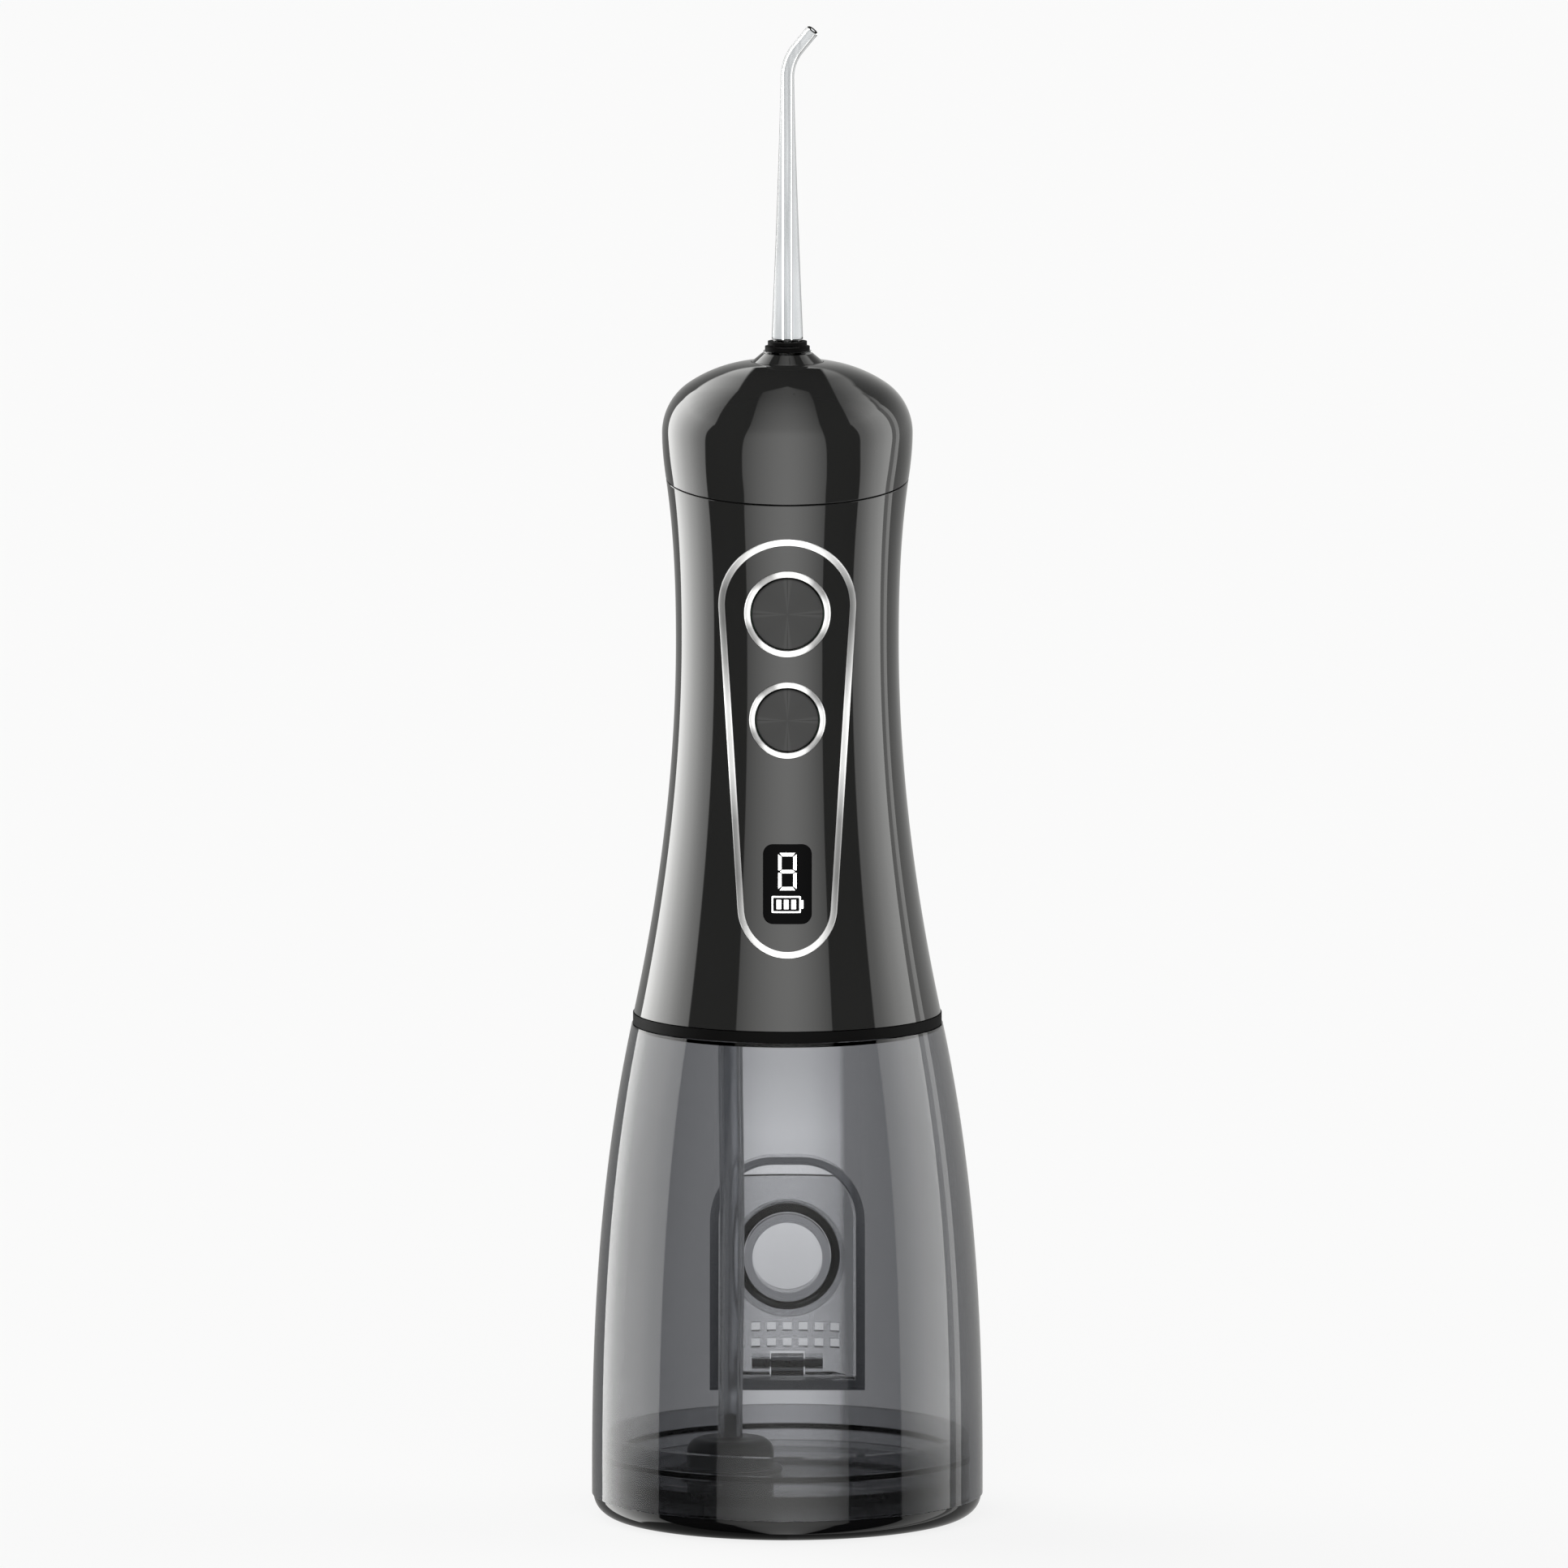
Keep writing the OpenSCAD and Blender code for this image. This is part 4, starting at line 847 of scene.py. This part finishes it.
low_z = at_seam(handle_r, SEAM_GAP / 2 + SEAM_EDGE_R)[1]
heights = [low_z + (WIDEST_Z - low_z) * k / 8 for k in range(8)]
head_edge = seam_edge(SEAM_GAP / 2, -1)[:0:-1]
inner_edge = at_seam(lambda z: handle_r(z) - HANDLE_WALL, SEAM_GAP / 2)
head = lathe("head_body", head_edge + [(handle_r(z), z) for z in heights] + dome_rows(0)
             + dome_rows(HANDLE_WALL)[::-1] + [inner_edge], sides=SIDES)
hole_half_h = RELEASE_HALF[1] + RELEASE_GAP
release_hole = rounded_rect(RELEASE_HALF[0] + RELEASE_GAP, hole_half_h, hole_half_h - 0.001, RELEASE_Z, 16)
boolean(head, slab_between("cutter", [release_hole], level(40), level(10)))
polish(head, [(handle_r, 0)], tilt=HOUSING_TILT)
finish_piece(head, "handle", "gloss_black", ["head_cover"])

# ---- Front panel ----

window_hole = rounded_rect(WINDOW[0] / 2 + 0.05, WINDOW[1] / 2 + 0.05, WINDOW_CORNER_R, WINDOW_Z)
panel = front_slab("panel_body", [pill(TRIM_W + TRIM_GAP), circle(POWER_RING_R + 0.05, POWER_Z),
                                  circle(MODE_RING_R + 0.05, MODE_Z), window_hole], 0, 0.05 - PANEL_DEPTH)
polish(panel, [(handle_r, 0), (handle_r, PANEL_DEPTH - 0.05)])
finish_piece(panel, "handle", "gloss_black", ["control_panel"])

trim = front_band("trim_bar", pill_track(), domed_section(TRIM_W, 0.05 - PANEL_DEPTH, -0.05, 0.12))
finish_piece(trim, "handle", "chrome_trim", ["panel_trim"])
for name, z, outer_r, cap_r, plating in (("power", POWER_Z, POWER_RING_R, POWER_R, POWER_CHROME),
                                         ("mode", MODE_Z, MODE_RING_R, MODE_R, MODE_CHROME)):
    ring = front_band(name + "_ring_bar", circle_track(outer_r, z),
                      domed_section(outer_r - cap_r - BUTTON_GAP, 0.05 - PANEL_DEPTH, 0.05, 0.3))
    finish_piece(ring, "handle", "chrome_trim", [name + "_button_ring"], plating)


def button_cap(name, z, r):
    """Cap with a soft edge and a shallow dish, and the stem behind it."""
    edge_r, depth, stem_r, stem_y, inset = 0.35, 0.12, 1.5, -16.9, 2.8
    top = 0.25
    face = [(AXIS_R, top - depth)] + [(q * (r - edge_r), top - depth * (1 - q**2))
                                      for q in np.linspace(0.1, 1, 12)]
    corner = [(r - edge_r + edge_r * math.sin(a), top - edge_r + edge_r * math.cos(a))
              for a in np.linspace(0, math.pi / 2, 6)[1:]]
    sides = 96
    a = 2 * math.pi * np.arange(sides) / sides
    rows = []
    for rho, height in face + corner + [(r, -inset), (stem_r, -inset)]:
        x, zz = rho * np.cos(a), z + rho * np.sin(a)
        rows.append(np.stack([x, front_y(x, zz, height), zz], 1))
    for rho in (stem_r, AXIS_R):
        rows.append(np.stack([rho * np.cos(a), np.full(sides, stem_y), z + rho * np.sin(a)], 1))
    faces = grid_faces(len(rows), sides, False)
    last = (len(rows) - 1) * sides
    faces += [tuple(range(sides)), tuple(range(last, last + sides))]
    return new_piece(name, np.concatenate(rows), faces, 50)


finish_piece(button_cap("power_cap", POWER_Z, POWER_R), "power_button", "gloss_black", ["power_button"],
             cap_painted_sheen("power_cap", POWER_Z))
finish_piece(button_cap("mode_cap", MODE_Z, MODE_R), "mode_button", "gloss_black", ["mode_button"],
             cap_painted_sheen("mode_cap", MODE_Z))

window = front_slab("display_glass", [rounded_rect(WINDOW[0] / 2, WINDOW[1] / 2, WINDOW_CORNER_R, WINDOW_Z)],
                    -0.25, 0.1 - PANEL_DEPTH)
polish(window, [(handle_r, 0.25)])
finish_piece(window, "handle", "display_glass", ["display_window"])


def digit_bars(z, half_w=1.64, half_h=3.3, bar=0.6, gap=0.11):
    """Outlines of the seven bars of a digit, mitred where they meet."""
    x0, x1 = half_w, half_w - bar
    out = []
    for s in (1, -1):
        top = half_h
        out.append([(-x0 + gap + 0.15, z + s * top), (x0 - gap - 0.15, z + s * top),
                    (x1 - gap, z + s * (top - bar)), (-x1 + gap, z + s * (top - bar))])
        for side in (1, -1):
            out.append([(side * x0, z + s * (top - gap - 0.15)), (side * x0, z + s * (gap + 0.12)),
                        (side * (x0 - bar * 0.5), z + s * (gap + 0.12)), (side * x1, z + s * (bar / 2 + gap)),
                        (side * x1, z + s * (top - bar - gap))])
    out.append([(-x1 - 0.28, z), (-x1 + gap, z + bar / 2), (x1 - gap, z + bar / 2), (x1 + 0.28, z),
                (x1 - gap, z - bar / 2), (-x1 + gap, z - bar / 2)])
    return out


def rect(half_w, half_h, x, z):
    return [(x - half_w, z - half_h), (x + half_w, z - half_h), (x + half_w, z + half_h),
            (x - half_w, z + half_h)]


DIGIT_Z, BATTERY_Z = 119.2, 113.4
outlines = [[subdivided(bar, 0.6)] for bar in digit_bars(DIGIT_Z)]
BATTERY_X = -0.2
outlines.append([rounded_rect(2.6, 1.48, 0.2, BATTERY_Z, 4, BATTERY_X),
                 rounded_rect(2.32, 1.2, 0.1, BATTERY_Z, 3, BATTERY_X)])
outlines += [[subdivided(rect(0.42, 0.82, BATTERY_X + 1.32 * k, BATTERY_Z), 0.6)] for k in (-1, 0, 1)]
outlines.append([rounded_rect(0.2, 0.75, 0.12, BATTERY_Z, 3, BATTERY_X + 2.86)])
for i, loops in enumerate(outlines):
    mark = front_slab(f"display_mark_{i}", loops, -0.06, -0.2, 0.5)
    polish(mark, [(handle_r, 0.06)])
    finish_piece(mark, "handle", "display_white", ["display_segments"] if i == 0 else [])

# ---- Tip ----


def tip_rows():
    """Path of the tip and its outer and bore radii, from the shank to the bent end."""
    path, outer, bore = [], [], []

    def add(point, r, hole):
        path.append(point)
        outer.append(r)
        bore.append(hole)

    for z, r in ((188, 2.8), (188.2, 3.0), (190, 3.0), (190.001, 2.15), (191.3, 2.15), (191.301, 3.0),
                 (205, 3.0), (205.3, 3.0), (209.6, 3.0), (209.601, 4.3), (209.9, 4.3), (209.901, 2.6),
                 (212, 2.6)):
        add((0, 0, z), r, 1.8 if z <= 205 else TIP_BORE_R)
    taper_low_z = TIP_TAPER_Z + 0.01
    for t in np.linspace(0, 1, 40):
        z = taper_low_z + (TIP_BEND_Z - taper_low_z) * t
        add((0, 0, z), TIP_END_R + 1.6 * (1 - t) ** 1.25, TIP_BORE_R)
    turn = np.array([math.cos(TIP_TURN), math.sin(TIP_TURN), 0])
    for a in np.linspace(0, TIP_BEND, 17)[1:]:
        add(turn * TIP_BEND_R * (1 - math.cos(a)) + np.array([0, 0, TIP_BEND_Z + TIP_BEND_R * math.sin(a)]),
            TIP_END_R, TIP_BORE_R)
    last = np.array(path[-1])
    way = turn * math.sin(TIP_BEND) + np.array([0, 0, math.cos(TIP_BEND)])
    for s, r in ((1.5, 0), (3, 0), (TIP_END_LEN - 0.25, 0), (TIP_END_LEN - 0.07, -0.06), (TIP_END_LEN, -0.2)):
        add(last + way * s, TIP_END_R + r, TIP_BORE_R)
    return np.array(path), np.array(outer), np.array(bore)


tip_path, tip_outer, tip_bore = tip_rows()
tip_across = (math.sin(-TIP_TURN), math.cos(TIP_TURN), 0)
tip = tube("jet_tip_body", tip_path, tip_outer, tip_bore, sides=72, across=tip_across, sharp_deg=25)
tip.visible_glossy = False  # its bright walls would show as stray lines in the head's polish
finish_piece(tip, "jet_tip", "clear_plastic", ["jet_tip"], clear_tip())

# The dark mouth at the tip's end
MOUTH_R, MOUTH_BORE_R = 0.98, 0.5
mouth_way = (tip_path[-1] - tip_path[-2]) / np.linalg.norm(tip_path[-1] - tip_path[-2])
mouth_path = np.array([tip_path[-1] + mouth_way * s for s in (-0.02, 0.06)])
mouth = tube("jet_tip_mouth", mouth_path, MOUTH_R, MOUTH_BORE_R, across=tip_across)
finish_piece(mouth, "jet_tip", "satin_black", [])

# ---- Studio: softboxes at the sides and in front, as a world shader, and a pale floor ----

BACKDROP = 0.956


def studio():
    world = bpy.data.worlds.new("studio")
    scene.world = world
    world.use_nodes = True
    g = Graph(world.node_tree)
    way = g.node("SeparateXYZ", {"Vector": g.node("TexCoord").outputs["Generated"]}).outputs
    right, z = way["X"], way["Z"]
    front = g.math("MULTIPLY", way["Y"], -1.0)
    side = g.math("ABSOLUTE", right)
    is_right = g.step(right, 0, 0.001)
    # Angle round the object from its front, and angle above the horizon
    around = g.math("ABSOLUTE", g.angle(right, front))
    rise = g.math("MULTIPLY", g.math("ARCSINE", z), DEGREES)
    # Angle over the top: 0 in front, 90 straight up, 180 behind, down to -90 below
    over = g.math("WRAP", g.angle(z, front), 270.0, -90.0)

    def softbox(low_edge, high_edge, join):
        """1 inside a side softbox. Its near edge is an angle around, up to the rise called join, and a
        sideways reach above that."""
        low = g.step(around, g.curve(rise, low_edge, smooth=True), 1.2)
        high = g.step(side, g.curve(over, high_edge + [(145, 0.12), (170, 0), (270, 0)], smooth=True), 0.012)
        return g.blend(g.step(rise, join, 0.01), low, high)

    def brightness(by_around, shoulder):
        """Light of a side softbox, by angle round the object. It weakens above the shoulder, a point of
        (rise, level)."""
        by_rise = [(-90, 0.2), (-25, 0.9), (-10, 1), shoulder, (42, 0.65), (57, 0.26), (66, 0.15)]
        return g.math("MULTIPLY", g.curve(around, by_around), g.curve(rise, by_rise))

    # Front softbox: long, overhead, brightest along its middle, and closed just behind the top
    reach = g.curve(over, [(-90, 0.0), (-40, 0.55), (-25, 0.68), (10, 0.66), (38, 0.54), (75, 0.36),
                           (110, 0.18), (118, -0.05), (270, -0.05)], smooth=True)
    spread = g.blend(is_right, side, g.math("DIVIDE", side, 0.885))
    front_mask = g.step(g.math("SUBTRACT", reach, spread), 0, 0.012)
    across = g.math("POWER", g.clamp(g.math("DIVIDE", spread, g.math("MAXIMUM", reach, 0.05))), 1.7)
    front_light = g.math("MULTIPLY", g.math("MULTIPLY_ADD", across, -0.62, 1.0),
                         g.curve(over, [(-90, 3.0), (14, 3.0), (28, 2.3), (67, 1.6), (90, 1.06), (116, 0.5)],
                                 smooth=True))
    beyond = g.curve(rise, [(-90, 0.2), (-10, 0.5), (0, 0.65), (10, 0.6), (30, 0.28), (50, 0.1)])

    # Left softbox, which ends in a dimmer part low behind the object
    mask = softbox([(-25, 88), (-10, 81), (10, 82), (22.5, 76.5)],
                   [(50, 0.99), (61, 0.9), (81, 0.78), (100, 0.56), (120, 0.3)], 22.5)
    shade_top = g.curve(around, [(135, -40), (144, 0), (147, 19), (155, 26), (168, 25), (180, 19)])
    lit = g.step(rise, shade_top, 2.0)
    left_light = brightness([(76, 1.6), (90, 2.6), (104, 4.1), (120, 5.0), (133, 5.0), (152, 3.7), (165, 1.9),
                             (180, 1.2)], (25, 1.1))
    left_light = g.math("MULTIPLY", mask, g.blend(lit, g.math("MULTIPLY", beyond, 0.75), left_light))

    # Right softbox, with a dark gap and a narrow bright strip along its far edge
    mask = softbox([(-25, 78), (-10, 70), (10, 71.5), (25.5, 66.5)],
                   [(40, 0.93), (50, 0.83), (72, 0.71), (95, 0.5), (120, 0.27)], 25.5)

    def far_edge(turn):
        """1 inside the softbox's far edge turned by an angle, 0 outside it."""
        height = g.curve(g.math("SUBTRACT", around, turn), [
            (96, -90), (113, -5), (114.5, 31), (126, 40), (140, 43), (155, 40), (168, 31), (180, 20)])
        return g.step(rise, height, 2.5)

    right_light = brightness([(64, 1.2), (77, 1.7), (92, 3.0), (104, 3.5), (125, 3.4), (150, 1.9),
                              (165, 0.9)], (30, 0.95))
    strip = g.curve(rise, [(-10, 1.85), (25, 1.75), (37, 1.1), (45, 0.4)])
    outer = g.blend(far_edge(13), beyond, strip)
    outer = g.blend(far_edge(6.5), outer, g.math("MULTIPLY", strip, 0.55))
    right_light = g.math("MULTIPLY", mask, g.blend(far_edge(0), outer, right_light))
    total = g.math("MULTIPLY_ADD", front_light, front_mask, g.blend(is_right, left_light, right_light))
    light = g.node("CombineColor", {"Red": total, "Green": total,
                                    "Blue": g.math("MULTIPLY", total, 0.985)}).outputs[0]
    # What is seen straight, or through a clear wall, is the plain backdrop
    path = g.node("LightPath")
    seen = g.math("MAXIMUM", path.outputs["Is Camera Ray"], path.outputs["Is Transmission Ray"])
    colour = g.mix(seen, light, rgba((BACKDROP,) * 3))
    g.node("OutputWorld", {"Surface": g.node("Background", {"Color": colour}).outputs[0]})


def stage_sheet(name, corners):
    """A stage sheet with a material of its own, and the graph of that material. corners are in metres."""
    mesh = bpy.data.meshes.new(name)
    mesh.from_pydata(corners, [], [(0, 1, 2, 3)])
    obj = bpy.data.objects.new(name, mesh)
    scene.collection.objects.link(obj)
    mat = bpy.data.materials.new(name)
    mat.use_nodes = True
    mesh.materials.append(mat)
    return obj, Graph(mat.node_tree)


def floor():
    half = 12.0
    obj, g = stage_sheet("floor", [(-half, -half, 0), (half, -half, 0), (half, half, 0), (-half, half, 0)])
    grain = g.node("TexNoise", {"Vector": g.node("TexCoord").outputs["Object"], "Scale": 3.0})
    tone = g.mix(grain.outputs["Fac"], rgba((0.84,) * 3), rgba((0.86,) * 3))
    paint = g.node("BsdfDiffuse", {"Color": tone})
    glow = g.node("Emission", {"Color": rgba((BACKDROP,) * 3), "Strength": 1.0})
    mixed = g.node("MixShader", {"Fac": 0.12})
    g.feed(mixed.inputs[1], glow.outputs[0])
    g.feed(mixed.inputs[2], paint.outputs[0])
    g.node("OutputMaterial", {"Surface": mixed.outputs[0]})
    obj.visible_glossy = False
    obj.visible_diffuse = False


def glow_card():
    """A lit card just behind the tank, which shows only through its clear walls."""
    half_w, low_z, high_z, y = 14, 1, 88, 39
    obj, g = stage_sheet("glow_card", [(x * MM, y * MM, z * MM) for x, z in (
        (-half_w, low_z), (half_w, low_z), (half_w, high_z), (-half_w, high_z))])
    place = g.place()
    x, z = g.math("DIVIDE", place["X"], MM), g.math("DIVIDE", place["Z"], MM)
    across = g.curve(g.math("ABSOLUTE", x), [(0, 1.0), (4, 0.96), (9.8, 0.62), (11, 0), (14, 0)])
    up = g.curve(z, [(1, 1.0), (12, 1.3), (44, 1.4), (64, 1.7), (76, 1.1), (88, 1.1)])
    g.node("OutputMaterial", {"Surface": g.node("Emission", {
        "Color": rgba((1,) * 3), "Strength": g.math("MULTIPLY_ADD", across, up, BACKDROP)}).outputs[0]})
    for ray in ("camera", "diffuse", "glossy", "volume_scatter", "shadow"):
        setattr(obj, "visible_" + ray, False)


studio()
floor()
glow_card()
scene.view_settings.view_transform = "Standard"
scene.view_settings.look = "None"
scene.cycles.max_bounces = 24
scene.cycles.transmission_bounces = 24
scene.cycles.glossy_bounces = 8
